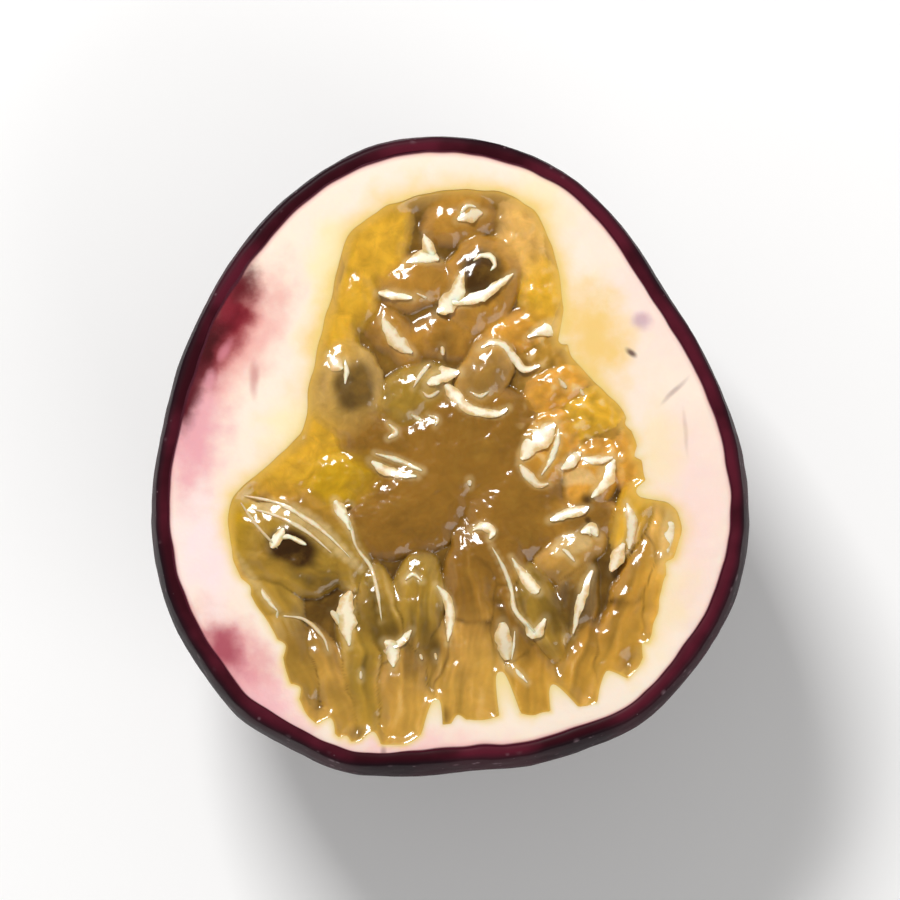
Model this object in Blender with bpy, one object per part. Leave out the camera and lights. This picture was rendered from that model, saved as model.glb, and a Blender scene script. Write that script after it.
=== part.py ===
"""Half of a ripe purple passion fruit, lying on its back with the cut face up.

Metres, +Z up. The origin is on the flat spot under the dome, in the middle of the fruit's outline.
+Y runs along the fruit, towards its narrow end. Three solids: the thin leathery peel, the pale spongy
pith inside it, and the pulp, which is one mass of juice sacs that hang from the pith on short stalks.
"""

import math
import random

import bmesh
import bpy
from mathutils import Matrix, Vector

MM = 0.001

# Whole half
CUT_HEIGHT = 27.2 * MM            # from the table to the cut face
GIRTH_BELOW_CUT = 5.0 * MM        # the fruit is widest a little below the cut
FLAT_SPOT_RISE = 1.1 * MM         # how much of the dome the flat spot takes away
GAP = 0.3 * MM                    # between neighbouring solids

# Skin outline at the girth: a mean radius, then (waves around the fruit, cosine part, sine part)
SKIN_RADIUS = 26.8 * MM
SKIN_WAVES = [
    (1, -0.6 * MM, -1.2 * MM),
    (2, -1.2 * MM, -0.2 * MM),
    (3, 0.3 * MM, -1.2 * MM),
]
# Corners and hollows of the drying skin: degrees round from +X, height, degrees either side
SKIN_KNUCKLES = [
    (305, 0.55 * MM, 9),
    (272, -0.45 * MM, 9),
    (250, 0.75 * MM, 8),
    (232, 0.55 * MM, 8),
    (150, -0.35 * MM, 14),
    (66, 0.30 * MM, 12),
    (38, -0.35 * MM, 11),
]
PEEL_WALL = 1.0 * MM

# Cavity in the pith at the cut face: its middle, then (degrees, radius) of its outline
CAVITY_CENTRE = Vector((0.3 * MM, -4.2 * MM, 0))
CAVITY_OUTLINE = [
    (4, 16.9 * MM),
    (28, 16.3 * MM),
    (50, 15.9 * MM),
    (61, 19.4 * MM),
    (76, 26.4 * MM),
    (90, 27.0 * MM),
    (103, 26.3 * MM),
    (112, 24.8 * MM),
    (122, 20.6 * MM),
    (140, 16.4 * MM),
    (156, 14.7 * MM),
    (169, 16.4 * MM),
    (180, 19.3 * MM),
    (195, 20.0 * MM),
    (217, 19.6 * MM),
    (238, 23.0 * MM),
    (257, 21.9 * MM),
    (268, 19.6 * MM),
    (286, 19.8 * MM),
    (310, 21.8 * MM),
    (336, 19.5 * MM),
    (356, 19.4 * MM),
]
CAVITY_RADIUS = sum(radius for _, radius in CAVITY_OUTLINE) / len(CAVITY_OUTLINE)
CAVITY_DEPTH = 20.0 * MM
CAVITY_FULLNESS = 0.75            # under 1 makes the cavity's sides steeper
CAVITY_EASING = 0.6               # how far its outline becomes round towards the bottom
# Stalk stumps that stand into the cavity from the cut wall: degrees, height, degrees either side
STALKS = [
    (285.0, 4.4 * MM, 4.5),
    (300.0, 3.4 * MM, 4.5),
    (310.0, 3.2 * MM, 4.0),
    (262.5, 3.0 * MM, 4.5),
    (250.0, 1.7 * MM, 4.0),
    (235.0, 1.4 * MM, 4.0),
    (222.5, 1.1 * MM, 4.0),
    (57.5, 2.2 * MM, 4.0),
    (325.0, 1.2 * MM, 4.0),
    (342.5, 1.0 * MM, 4.0),
    (0.0, 1.8 * MM, 4.5),
    (20.0, 0.6 * MM, 4.0),
]
STALK_REACH = 0.45                # share of the way down at which the stumps have faded out

# Juice sacs: those along the cavity wall are long and point inwards, those in the middle are rounder
SAC_THICKNESS = 5.6 * MM
THICKNESS_OF_WIDTH = 0.7          # a wide sac is at least this much of its width thick
WALL_SAC_LENGTHS = (8.5 * MM, 11.0 * MM)
WALL_SAC_WIDTHS = (4.5 * MM, 5.8 * MM)
WALL_SAC_CRESTS = (-0.7 * MM, 0.5 * MM)
WALL_SAC_SWING = 8                # degrees either side of square to the wall
WALL_SAC_SINK = 0.6 * MM          # how far its end is buried in the wall
WALL_SAC_STEP = 4.1 * MM          # along the cavity wall
INNER_SAC_LENGTH = 8.0 * MM
INNER_SAC_WIDTH = 6.0 * MM
INNER_SAC_CRESTS = (-0.8 * MM, 0.6 * MM)
INNER_SAC_STEP = 5.6 * MM         # across the middle
INNER_SAC_STRAY = 1.0 * MM
INNER_SAC_CLEARANCE = 7.5 * MM    # from the wall to the nearest inner sac
SAC_TOP_BELOW_CUT = 0.4 * MM      # mean height of the sacs' crests
SAC_TILT = 4                      # degrees that a sac's inner end dips
CORE_BELOW_CUT = 1.5 * MM
CORE_OUTSET = 1.0 * MM            # past the cavity wall, where the mould trims it
MOULD_ABOVE_CUT = 4.0 * MM
# Large sacs that lead the pulp: place on the cut face, direction in degrees, length, width, crest
LEAD_SACS = [
    ((-3.5 * MM, 17.0 * MM), 80, 10.5 * MM, 8.5 * MM, 0.2 * MM),
    ((3.8 * MM, 16.0 * MM), 100, 12.0 * MM, 8.5 * MM, 0.6 * MM),
    ((-9.0 * MM, 6.0 * MM), 95, 9.0 * MM, 6.5 * MM, 0.4 * MM),
    ((1.4 * MM, 7.0 * MM), 60, 7.5 * MM, 6.5 * MM, 0.7 * MM),
    ((-13.8 * MM, -8.0 * MM), 160, 11.5 * MM, 8.5 * MM, 0.5 * MM),
    ((2.0 * MM, -2.5 * MM), 20, 13.0 * MM, 10.0 * MM, 0.3 * MM),
]
LEAD_SAC_ROOM = 0.4               # share of its mean size that a large sac keeps clear of the others
# Seeds that raise the large sacs over them
SEED_ABOVE_CREST = 0.25 * MM
SEED_LENGTH = 5.2 * MM
SEED_WIDTH = 3.8 * MM
SEED_THICKNESS = 2.6 * MM
LAYOUT_SEED = 7

# Mesh density
SAC_SIDES = 10
SAC_RINGS = 6
SKIN_SIDES = 72
SKIN_RINGS = 12
PITH_SIDES = 144
PITH_RINGS = 6
CORE_SIDES = 48


def clear_scene():
    for leftover in list(bpy.data.objects):
        bpy.data.objects.remove(leftover)


def collection(name, render=True):
    made = bpy.data.collections.new(name)
    bpy.context.scene.collection.children.link(made)
    made.hide_render = not render
    return made


def material(name, colour, roughness):
    made = bpy.data.materials.new(name)
    made.use_nodes = True
    made.diffuse_color = (*colour, 1)
    shader = made.node_tree.nodes["Principled BSDF"]
    shader.inputs["Base Color"].default_value = (*colour, 1)
    shader.inputs["Roughness"].default_value = roughness
    shader.inputs["Metallic"].default_value = 0
    return made


def turn_between(a, b):
    """Degrees from b to a, from -180 to 180."""
    return (a - b + 180) % 360 - 180


def around(outline, degrees):
    """The value at this angle on a smooth closed curve through (degrees, value) points."""
    count = len(outline)
    degrees = (degrees - outline[0][0]) % 360
    for i in range(count):
        start = outline[i][0] - outline[0][0]
        end = outline[(i + 1) % count][0] - outline[0][0] or 360
        if degrees <= end:
            break
    before, here, there, after = (outline[(i + k) % count] for k in (-1, 0, 1, 2))
    span = end - start
    t = (degrees - start) / span
    leave = (there[1] - before[1]) / ((there[0] - before[0]) % 360) * span
    arrive = (after[1] - here[1]) / ((after[0] - here[0]) % 360) * span
    return (
        here[1] * (2 * t**3 - 3 * t**2 + 1)
        + leave * (t**3 - 2 * t**2 + t)
        + there[1] * (3 * t**2 - 2 * t**3)
        + arrive * (t**3 - t**2)
    )


def bump(degrees, place, spread):
    return math.exp(-((turn_between(degrees, place) / spread) ** 2))


def skin_radius(angle, share=1.0):
    """Radius of the skin's outline at the girth. share fades the knuckles out towards the pole."""
    waves = sum(c * math.cos(n * angle) + s * math.sin(n * angle) for n, c, s in SKIN_WAVES)
    knuckles = sum(h * bump(math.degrees(angle), d, w) for d, h, w in SKIN_KNUCKLES)
    return SKIN_RADIUS + waves + share * knuckles


def skin_point(angle, down, inset):
    """A point this far inside the skin. down runs from 0 at the cut face to 1 at the bottom."""
    depth = CUT_HEIGHT - GIRTH_BELOW_CUT + FLAT_SPOT_RISE - inset
    rim = math.asin(GIRTH_BELOW_CUT / depth)
    below_girth = down * (math.pi / 2 + rim) - rim
    radius = (skin_radius(angle, 1 - down) - inset) * math.cos(below_girth)
    height = CUT_HEIGHT - GIRTH_BELOW_CUT - depth * math.sin(below_girth)
    return Vector((radius * math.cos(angle), radius * math.sin(angle), max(height, inset)))


def stalk_height(degrees, down, inset):
    """How far the stalk stumps stand in from the cavity wall, thickened all round by the inset."""
    fade = max(0.0, 1 - down / STALK_REACH)
    wider = math.degrees(inset / CAVITY_RADIUS)
    shares = ((h, max(0.0, 1 - abs(turn_between(degrees, d)) / (w + wider))) for d, h, w in STALKS)
    return max(max(0.0, h + inset) * share for h, share in shares) * fade


def cavity_radius(angle, down=0.0, inset=0.0):
    degrees = math.degrees(angle)
    outline = around(CAVITY_OUTLINE, degrees)
    eased = outline + (CAVITY_RADIUS - outline) * CAVITY_EASING * down
    return eased - inset - stalk_height(degrees, down, inset)


def cavity_point(angle, down, inset):
    """A point this far in from the cavity's wall. down runs from 0 at the cut face to 1 at the bottom."""
    across = math.cos(down * math.pi / 2) ** CAVITY_FULLNESS
    radius = cavity_radius(angle, down, inset) * across
    height = CUT_HEIGHT - (CAVITY_DEPTH - inset) * math.sin(down * math.pi / 2)
    return CAVITY_CENTRE + Vector((radius * math.cos(angle), radius * math.sin(angle), height))


def rise(v):
    """How far a point of the unit sphere is above its equator: -1 at the bottom pole, 1 at the top."""
    return math.asin(max(-1.0, min(1.0, v.co.z))) / (math.pi / 2)


def add_cup(bm, sides, rings, place):
    """Adds the lower half of a sphere, moved by place and open at its rim. Returns the rim's edges."""
    bmesh.ops.create_uvsphere(bm, u_segments=sides, v_segments=2 * rings, radius=1)
    above = [v for v in bm.verts if rise(v) > 0.25 / rings]
    bmesh.ops.delete(bm, geom=above, context="VERTS")
    for v in bm.verts:
        v.co = place(math.atan2(v.co.y, v.co.x), max(0.0, -rise(v)))
    return [e for e in bm.edges if e.is_boundary]


def add_object(name, bm, look, parent, group):
    bmesh.ops.recalc_face_normals(bm, faces=bm.faces)
    mesh = bpy.data.meshes.new(name)
    bm.to_mesh(mesh)
    bm.free()
    mesh.materials.append(look)
    made = bpy.data.objects.new(name, mesh)
    made.parent = parent
    group.objects.link(made)
    return made


def bowl(name, sides, rings, outer, inner, look, parent, group):
    """A sphere whose upper half is pushed in: it becomes the inner wall, and its first band the rim."""
    bm = bmesh.new()
    bmesh.ops.create_uvsphere(bm, u_segments=sides, v_segments=2 * rings, radius=1)
    band = 1 / rings
    for v in bm.verts:
        angle = math.atan2(v.co.y, v.co.x)
        if rise(v) < band / 2:
            v.co = outer(angle, max(0.0, -rise(v)))
        else:
            v.co = inner(angle, max(0.0, (rise(v) - band) / (1 - band)))
    return add_object(name, bm, look, parent, group)


def peel(look, parent, group):
    """The leathery purple skin, cut off flat at the rim."""
    return bowl(
        "peel", SKIN_SIDES, SKIN_RINGS,
        lambda angle, down: skin_point(angle, down, 0),
        lambda angle, down: skin_point(angle, down, PEEL_WALL),
        look, parent, group,
    )


def pith(look, parent, group):
    """The spongy layer under the skin, with the stumps of the cut stalks round its cavity."""
    return bowl(
        "pith", PITH_SIDES, PITH_RINGS,
        lambda angle, down: skin_point(angle, down, PEEL_WALL + GAP),
        lambda angle, down: cavity_point(angle, down, 0),
        look, parent, group,
    )


def cavity_fill(name, inset, top, look, parent, group):
    """A closed solid as wide as the cavity, less the inset, and flat at this height."""
    bm = bmesh.new()
    rim = add_cup(bm, PITH_SIDES, PITH_RINGS - 1, lambda angle, down: cavity_point(angle, down, inset))
    lift = Vector((0, 0, top - CUT_HEIGHT))
    raised = bmesh.ops.extrude_edge_only(bm, edges=rim)["geom"]
    for v in (g for g in raised if isinstance(g, bmesh.types.BMVert)):
        v.co += lift
    lid = [e for e in bm.edges if e.is_boundary]
    bmesh.ops.contextual_create(bm, geom=lid)
    return add_object(name, bm, look, parent, group)


def core(look, parent, group):
    """The lower part of the pulp, under the sacs that show."""
    bm = bmesh.new()
    add_cup(bm, CORE_SIDES, PITH_RINGS, lambda angle, down: cavity_point(angle, down, -CORE_OUTSET))
    everything = bm.verts[:] + bm.edges[:] + bm.faces[:]
    level = Vector((0, 0, CUT_HEIGHT - CORE_BELOW_CUT))
    bmesh.ops.bisect_plane(bm, geom=everything, plane_co=level, plane_no=(0, 0, 1), clear_outer=True)
    lid = [e for e in bm.edges if e.is_boundary]
    bmesh.ops.contextual_create(bm, geom=lid)
    return add_object("pulp", bm, look, parent, group)


def ellipsoid(name, centre, heading, size, tilt, look, parent, group):
    """A sac or seed: its length along heading, one end dipped by tilt."""
    bm = bmesh.new()
    turn = Matrix.Rotation(heading, 4, "Z") @ Matrix.Rotation(tilt, 4, "Y")
    lie_down = Matrix.Rotation(math.pi / 2, 4, "Y")
    stretch = Matrix.Diagonal((*(s / 2 for s in size), 1))
    bmesh.ops.create_uvsphere(
        bm, u_segments=SAC_SIDES, v_segments=SAC_RINGS, radius=1,
        matrix=Matrix.Translation(centre) @ turn @ stretch @ lie_down,
    )
    return add_object(name, bm, look, parent, group)


def wall_sacs(rng):
    """Long sacs side by side round the cavity wall, each pointing to the middle."""
    angle = 0.0
    while angle < 2 * math.pi:
        reach = around(CAVITY_OUTLINE, math.degrees(angle))
        length = rng.uniform(*WALL_SAC_LENGTHS)
        heading = angle + math.radians(rng.uniform(-WALL_SAC_SWING, WALL_SAC_SWING))
        middle = reach - length / 2 + WALL_SAC_SINK
        place = (middle * math.cos(angle), middle * math.sin(angle))
        yield place, heading, length, rng.uniform(*WALL_SAC_WIDTHS), rng.uniform(*WALL_SAC_CRESTS)
        angle += WALL_SAC_STEP / reach


def inner_sacs(rng):
    """Rounder sacs on a loose triangular grid over the middle."""
    rows = int(2 * SKIN_RADIUS / INNER_SAC_STEP)
    for row in range(-rows, rows):
        for column in range(-rows, rows):
            stray = [rng.uniform(-INNER_SAC_STRAY, INNER_SAC_STRAY) for _ in "xy"]
            x = (column + 0.5 * (row % 2)) * INNER_SAC_STEP + stray[0]
            y = row * INNER_SAC_STEP * math.sqrt(0.75) + stray[1]
            heading = rng.uniform(0, math.pi)
            crest = rng.uniform(*INNER_SAC_CRESTS)
            reach = around(CAVITY_OUTLINE, math.degrees(math.atan2(y, x)))
            if math.hypot(x, y) < reach - INNER_SAC_CLEARANCE:
                yield (x, y), heading, INNER_SAC_LENGTH, INNER_SAC_WIDTH, crest


def lead_sacs():
    for place, degrees, length, width, crest in LEAD_SACS:
        on_cavity = (place[0] - CAVITY_CENTRE.x, place[1] - CAVITY_CENTRE.y)
        yield on_cavity, math.radians(degrees), length, width, crest


def sac_layout():
    """(place from the cavity's middle, heading, length, width, crest) of each sac that shows."""
    rng = random.Random(LAYOUT_SEED)
    placed = list(lead_sacs())
    leaders = [(*place, LEAD_SAC_ROOM * (length + width) / 2) for place, _, length, width, _ in placed]
    for sac in [*wall_sacs(rng), *inner_sacs(rng)]:
        x, y = sac[0]
        if all(math.hypot(x - lx, y - ly) > keep for lx, ly, keep in leaders):
            placed.append(sac)
    return placed


def pulp(look, parent, group, helpers):
    """One mass: a core with the sacs and the seeds under them fused on, trimmed to the cavity."""
    body = core(look, parent, group)
    sacs = collection("sacs", render=False)
    for i, (place, heading, length, width, crest) in enumerate(sac_layout()):
        thickness = max(SAC_THICKNESS, THICKNESS_OF_WIDTH * width)
        top = CUT_HEIGHT - SAC_TOP_BELOW_CUT + crest
        centre = CAVITY_CENTRE + Vector((*place, top - thickness / 2))
        size = (length, width, thickness)
        ellipsoid(f"sac_{i}", centre, heading, size, math.radians(SAC_TILT), look, parent, sacs)
    for i, (place, heading, *_, crest) in enumerate(lead_sacs()):
        top = CUT_HEIGHT - SAC_TOP_BELOW_CUT + crest + SEED_ABOVE_CREST
        centre = CAVITY_CENTRE + Vector((*place, top - SEED_THICKNESS / 2))
        size = (SEED_LENGTH, SEED_WIDTH, SEED_THICKNESS)
        ellipsoid(f"seed_{i}", centre, heading, size, 0, look, parent, sacs)
    mould = cavity_fill("cavity_mould", GAP, CUT_HEIGHT + MOULD_ABOVE_CUT, look, parent, helpers)
    mould.hide_render = True
    mould.display_type = "WIRE"
    fuse(body, sacs)
    trim = body.modifiers.new("trim to cavity", "BOOLEAN")
    trim.operation = "INTERSECT"
    trim.object = mould
    return body


def fuse(body, group):
    """Joins a collection's objects to the body with one Boolean, then removes them."""
    join = body.modifiers.new("fuse", "BOOLEAN")
    join.operation = "UNION"
    join.operand_type = "COLLECTION"
    join.collection = group
    bpy.context.view_layer.update()
    evaluated = body.evaluated_get(bpy.context.evaluated_depsgraph_get())
    fused = bpy.data.meshes.new_from_object(evaluated)
    body.modifiers.clear()
    body.data = fused
    for joined in list(group.objects):
        bpy.data.objects.remove(joined)
    bpy.data.collections.remove(group)


def outline_middle():
    """Middle of the skin's outline, seen from above."""
    steps = 720
    angles = [2 * math.pi * i / steps for i in range(steps)]
    xs = [skin_radius(a) * math.cos(a) for a in angles]
    ys = [skin_radius(a) * math.sin(a) for a in angles]
    return Vector(((min(xs) + max(xs)) / 2, (min(ys) + max(ys)) / 2, 0))


def main():
    clear_scene()
    fruit = collection("passion_fruit_half")
    helpers = collection("cutters", render=False)
    stand = bpy.data.objects.new("middle", None)
    stand.location = -outline_middle()
    fruit.objects.link(stand)
    purple = material("purple peel", (0.075, 0.022, 0.035), 0.4)
    cream = material("cream pith", (0.92, 0.78, 0.70), 0.6)
    gold = material("golden juice sacs", (0.56, 0.34, 0.07), 0.2)
    skin = peel(purple, stand, fruit)
    skin.data.shade_smooth()
    skin.data.set_sharp_from_angle(angle=math.radians(40))
    flesh = pith(cream, stand, fruit)
    flesh.data.shade_smooth()
    flesh.data.set_sharp_from_angle(angle=math.radians(40))
    sacs = pulp(gold, stand, fruit, helpers)
    sacs.data.shade_smooth()


main()
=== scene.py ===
# %% [markdown]
# # Half a passion fruit, cut face up
# A passion fruit is three things inside one another: a thin leathery peel, a pale spongy pith, and a
# cavity full of juice sacs with a dark seed in each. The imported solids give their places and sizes.
# This script dresses each one with a finer mesh and with a material that is worked out from the real one.

# %% Load the frame
import math
from types import SimpleNamespace

import bmesh
import bpy
import numpy as np
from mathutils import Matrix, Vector, noise
from mathutils.kdtree import KDTree


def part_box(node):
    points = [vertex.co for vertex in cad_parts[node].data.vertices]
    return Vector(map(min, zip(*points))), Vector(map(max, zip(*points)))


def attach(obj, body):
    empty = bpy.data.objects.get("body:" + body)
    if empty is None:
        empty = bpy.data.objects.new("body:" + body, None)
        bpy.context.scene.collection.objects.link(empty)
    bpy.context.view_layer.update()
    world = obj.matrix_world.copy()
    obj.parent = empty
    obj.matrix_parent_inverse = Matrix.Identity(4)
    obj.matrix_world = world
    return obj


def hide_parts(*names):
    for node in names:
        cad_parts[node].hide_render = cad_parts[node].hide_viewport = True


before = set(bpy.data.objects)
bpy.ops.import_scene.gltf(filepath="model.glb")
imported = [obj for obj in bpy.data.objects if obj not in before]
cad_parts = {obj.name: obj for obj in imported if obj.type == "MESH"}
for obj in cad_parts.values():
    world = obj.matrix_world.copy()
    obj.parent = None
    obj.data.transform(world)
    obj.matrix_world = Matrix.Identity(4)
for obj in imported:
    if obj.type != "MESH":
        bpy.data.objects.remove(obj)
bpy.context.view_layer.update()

MM = 0.001
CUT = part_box("peel")[1].z  # height of the cut face
print("cut face at", round(CUT / MM, 1), "mm, solids:", sorted(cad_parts))

# %% [markdown]
# ## The fruit's outline
# Seen from above, the skin is a rounded egg. A circle with a few slow waves gives that, and each corner
# or hollow of the drying skin is a small bump added to it. The same rule made the solids, so the finer
# meshes lie where they do. Only the knuckle at 152 degrees was moved out since, by less than a millimetre.
# Every function here works on whole arrays, because the meshes are dense.

# %% Skin outline
GIRTH_BELOW_CUT = 5.0 * MM
FLAT_SPOT_RISE = 1.1 * MM
PEEL_WALL = 1.0 * MM
SKIN_RADIUS = 26.8 * MM
# Waves round the fruit, with their cosine and sine parts
SKIN_WAVES = [(1, -0.6 * MM, -1.2 * MM), (2, -1.2 * MM, -0.2 * MM), (3, 0.3 * MM, -1.2 * MM)]
# Corners and hollows: degrees round from +X, height, degrees that they reach either side
SKIN_KNUCKLES = [
    (305, 0.55 * MM, 9), (272, -0.45 * MM, 9), (250, 0.75 * MM, 8), (232, 0.55 * MM, 8),
    (152, 0.30 * MM, 14), (66, 0.30 * MM, 12), (38, -0.35 * MM, 11),
]


def turn_between(a, b):
    """Degrees from b to a, from -180 to 180."""
    return (a - b + 180) % 360 - 180


def skin_radius(angle, share=1.0):
    """Radius of the skin at the girth. share fades the knuckles out towards the pole."""
    waves = sum(c * np.cos(n * angle) + s * np.sin(n * angle) for n, c, s in SKIN_WAVES)
    degrees = np.degrees(angle)
    knuckles = sum(h * np.exp(-((turn_between(degrees, d) / w) ** 2)) for d, h, w in SKIN_KNUCKLES)
    return SKIN_RADIUS + waves + share * knuckles


def waviness(points, size, layer=0.0):
    """Smooth noise at these points, about -1 to 1, with lumps of this size. Each layer is another pattern."""
    scaled = points / size + layer
    return np.array([noise.noise(Vector(p)) for p in scaled])


def ring_points(radius, angle, height):
    return np.column_stack(np.broadcast_arrays(radius * np.cos(angle), radius * np.sin(angle), height))


full_turn = np.radians(np.arange(0, 360, 0.5))
outline = ring_points(skin_radius(full_turn), full_turn, 0)
MIDDLE = (outline.min(0) + outline.max(0)) / 2
print("skin outline spans", np.round((outline.max(0) - outline.min(0))[:2] / MM, 1), "mm")


def skin_point(angle, down, inset):
    """Points this far inside the skin. down runs from 0 at the cut face to 1 at the bottom."""
    depth = CUT - GIRTH_BELOW_CUT + FLAT_SPOT_RISE - inset
    rim = np.arcsin(GIRTH_BELOW_CUT / depth)
    below_girth = down * (math.pi / 2 + rim) - rim
    radius = (skin_radius(angle, 1 - down) - inset) * np.cos(below_girth)
    height = CUT - GIRTH_BELOW_CUT - depth * np.sin(below_girth)
    return ring_points(radius, angle, np.maximum(height, inset)) - MIDDLE


# %% [markdown]
# ## The cavity's outline
# The cavity is no circle: it has a narrow neck, a wide foot and a lobe on the left. A smooth closed curve
# through a few radii draws it. The stumps of the stalks that carried the juice sacs stand in from its
# wall like teeth, so they are narrow peaks taken off that radius. Along a stump the lip runs far in a
# small turn, so vertices are spaced half by angle and half by the length of the lip.

# %% Cavity outline
CAVITY_CENTRE = np.array([0.3 * MM, -4.2 * MM, 0]) - MIDDLE
CAVITY_OUTLINE = [  # degrees, radius in mm
    (4, 16.9), (28, 16.3), (50, 15.9), (61, 19.4), (76, 26.4), (90, 27.0), (103, 26.3), (112, 24.8),
    (122, 20.6), (140, 16.4), (156, 14.7), (169, 16.4), (180, 19.3), (195, 20.0), (217, 19.6),
    (238, 23.0), (257, 21.9), (268, 19.6), (286, 19.8), (310, 21.8), (336, 19.5), (356, 19.4),
]
CAVITY_RADIUS = sum(radius for _, radius in CAVITY_OUTLINE) / len(CAVITY_OUTLINE) * MM
CAVITY_DEPTH = 20.0 * MM
CAVITY_FULLNESS = 0.75  # under 1 makes its sides steeper
CAVITY_EASING = 0.6  # how far its outline gets round towards the bottom
# Stumps: degrees, height, degrees that they reach before and after their tip, how square they are
STALKS = [
    (284.2, 4.3 * MM, 3.1, 2.4, 4.0),
    (297.4, 2.7 * MM, 3.6, 2.8, 2.0),
    (311.0, 2.0 * MM, 6.5, 2.4, 1.6),
    (264.2, 2.8 * MM, 2.6, 2.3, 3.2),
    (270.2, 0.7 * MM, 1.6, 2.2, 1.5),
    (250.4, 1.2 * MM, 2.0, 2.6, 1.6),
    (245.2, 0.5 * MM, 1.4, 1.4, 1.5),
    (240.2, 1.2 * MM, 1.8, 2.6, 1.7),
    (230.6, 0.8 * MM, 2.4, 1.4, 1.5),
    (220.8, 0.6 * MM, 2.4, 1.8, 1.5),
    (57.5, 1.6 * MM, 3.2, 3.2, 1.3),
    (322.0, 0.5 * MM, 2.6, 1.2, 1.3),
    (343.0, 0.6 * MM, 3.0, 1.5, 1.2),
    (0.6, 1.9 * MM, 1.4, 5.0, 1.6),
    (13.5, 0.5 * MM, 1.6, 2.8, 1.4),
    (24.0, 0.4 * MM, 2.8, 1.6, 1.4),
    (203.0, 0.4 * MM, 2.6, 2.0, 1.5),
]
STALK_REACH = 0.45  # the share of the way down at which the stumps have faded out
STALK_ROOT, STALK_ROOT_REACH = 0.16, 1.8  # its foot is this much of its height, and this much wider
LIP_WANDER, LIP_WANDER_SIZE = 0.26 * MM, 1.7 * MM


def closed_curve(outline, degrees):
    """Values at these angles on a smooth closed curve through (degrees, value) points."""
    places, values = np.array(outline).T
    ahead = (places - places[0]) % 360
    spans = np.append(ahead[1:], 360) - ahead
    slopes = (np.roll(values, -1) - np.roll(values, 1)) / (spans + np.roll(spans, 1))
    turned = (degrees - places[0]) % 360
    here = np.searchsorted(ahead, turned, side="right") - 1
    there = (here + 1) % len(ahead)
    t = (turned - ahead[here]) / spans[here]
    leave, arrive = slopes[here] * spans[here], slopes[there] * spans[here]
    start = values[here] * (2 * t**3 - 3 * t**2 + 1) + leave * (t**3 - 2 * t**2 + t)
    return start + values[there] * (3 * t**2 - 2 * t**3) + arrive * (t**3 - t**2)


def stalk_height(degrees, down):
    fade = np.maximum(0, 1 - down / STALK_REACH)
    tallest = np.zeros_like(degrees)
    for place, height, before, after, square in STALKS:
        turn = turn_between(degrees, place)
        aside = np.abs(turn) / np.where(turn < 0, before, after)
        column = np.maximum(0, 1 - aside**square)
        root = STALK_ROOT * np.exp(-((aside / STALK_ROOT_REACH) ** 2))
        tallest = np.maximum(tallest, height * (column * (1 - STALK_ROOT) + root))
    return tallest * fade


def cavity_radius(angle, down=0.0):
    degrees = np.degrees(angle) % 360
    plain = closed_curve(CAVITY_OUTLINE, degrees) * MM
    eased = plain + (CAVITY_RADIUS - plain) * CAVITY_EASING * down
    wander = LIP_WANDER * waviness(ring_points(plain, angle, 0), LIP_WANDER_SIZE)
    return eased + wander - stalk_height(degrees, down)


def cavity_point(angle, down, inset):
    """Points this far in from the cavity's wall. down runs from 0 at the cut face to 1 at the bottom."""
    across = np.cos(down * math.pi / 2) ** CAVITY_FULLNESS
    radius = (cavity_radius(angle, down) - inset) * across
    height = CUT - (CAVITY_DEPTH - inset) * np.sin(down * math.pi / 2)
    return ring_points(radius, angle, height) + CAVITY_CENTRE


def even_turn(angle):
    """Moves these angles closer together where the cavity's lip runs steeply, as along a stump."""
    return np.interp(angle % (2 * math.pi), knots, fine_turn)


fine_turn = np.radians(np.arange(0, 360.05, 0.1))
lip = ring_points(cavity_radius(fine_turn), fine_turn, 0)
run = np.append(0, np.cumsum(np.linalg.norm(np.diff(lip, axis=0), axis=1)))
knots = math.pi * run / run[-1] + fine_turn / 2
radii = cavity_radius(full_turn) / MM
print("cavity's lip is", round(run[-1] / MM), "mm long, its radii are", round(radii.min(), 1), "to",
      round(radii.max(), 1), "mm")

# %% [markdown]
# ## Tools for the meshes
# Each layer starts from one sphere: a flat grid, quick to make, that is rolled up and welded at its seam.
# Its rings are then moved. The lower ones become the outside of the layer, the next ones the rim, and the
# upper ones are pushed in as its inside. A sphere stays closed however its points move, so every layer is
# a sound solid with its faces pointing out.

# %% Mesh helpers
def add_object(name, data):
    made = bpy.data.objects.new(name, data)
    bpy.context.scene.collection.objects.link(made)
    return made


def to_mesh(bm, name):
    mesh = bpy.data.meshes.new(name)
    bm.to_mesh(mesh)
    bm.free()
    return mesh


def mesh_points(mesh):
    points = np.empty((len(mesh.vertices), 3), np.float32)
    mesh.vertices.foreach_get("co", points.ravel())
    return points.astype(float)


def sphere_rings(sides, bands):
    """A sphere, with the angle of each vertex round it and its ring, counted up from the bottom pole."""
    bm = bmesh.new()
    bmesh.ops.create_grid(bm, x_segments=sides, y_segments=bands, size=1)
    for v in bm.verts:
        turn, up = (v.co.x + 1) * math.pi, v.co.y * math.pi / 2
        v.co = Vector((math.cos(turn) * math.cos(up), math.sin(turn) * math.cos(up), math.sin(up)))
    bmesh.ops.remove_doubles(bm, verts=bm.verts, dist=1e-6)
    mesh = to_mesh(bm, "sphere")
    points = mesh_points(mesh)
    angle = np.arctan2(points[:, 1], points[:, 0])
    ring = np.rint((np.arcsin(np.clip(points[:, 2], -1, 1)) / math.pi + 0.5) * bands)
    return mesh, angle, ring


def distance_to(line, points):
    """How far each point lies from a line of close points, seen from above."""
    tree = KDTree(len(line))
    for i, (x, y, _) in enumerate(line):
        tree.insert((x, y, 0), i)
    tree.balance()
    return np.array([tree.find((x, y, 0))[2] for x, y, _ in points])


def turned(x, y, degrees):
    c, s = np.cos(np.radians(degrees)), np.sin(np.radians(degrees))
    return x * c - y * s, x * s + y * c


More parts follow.
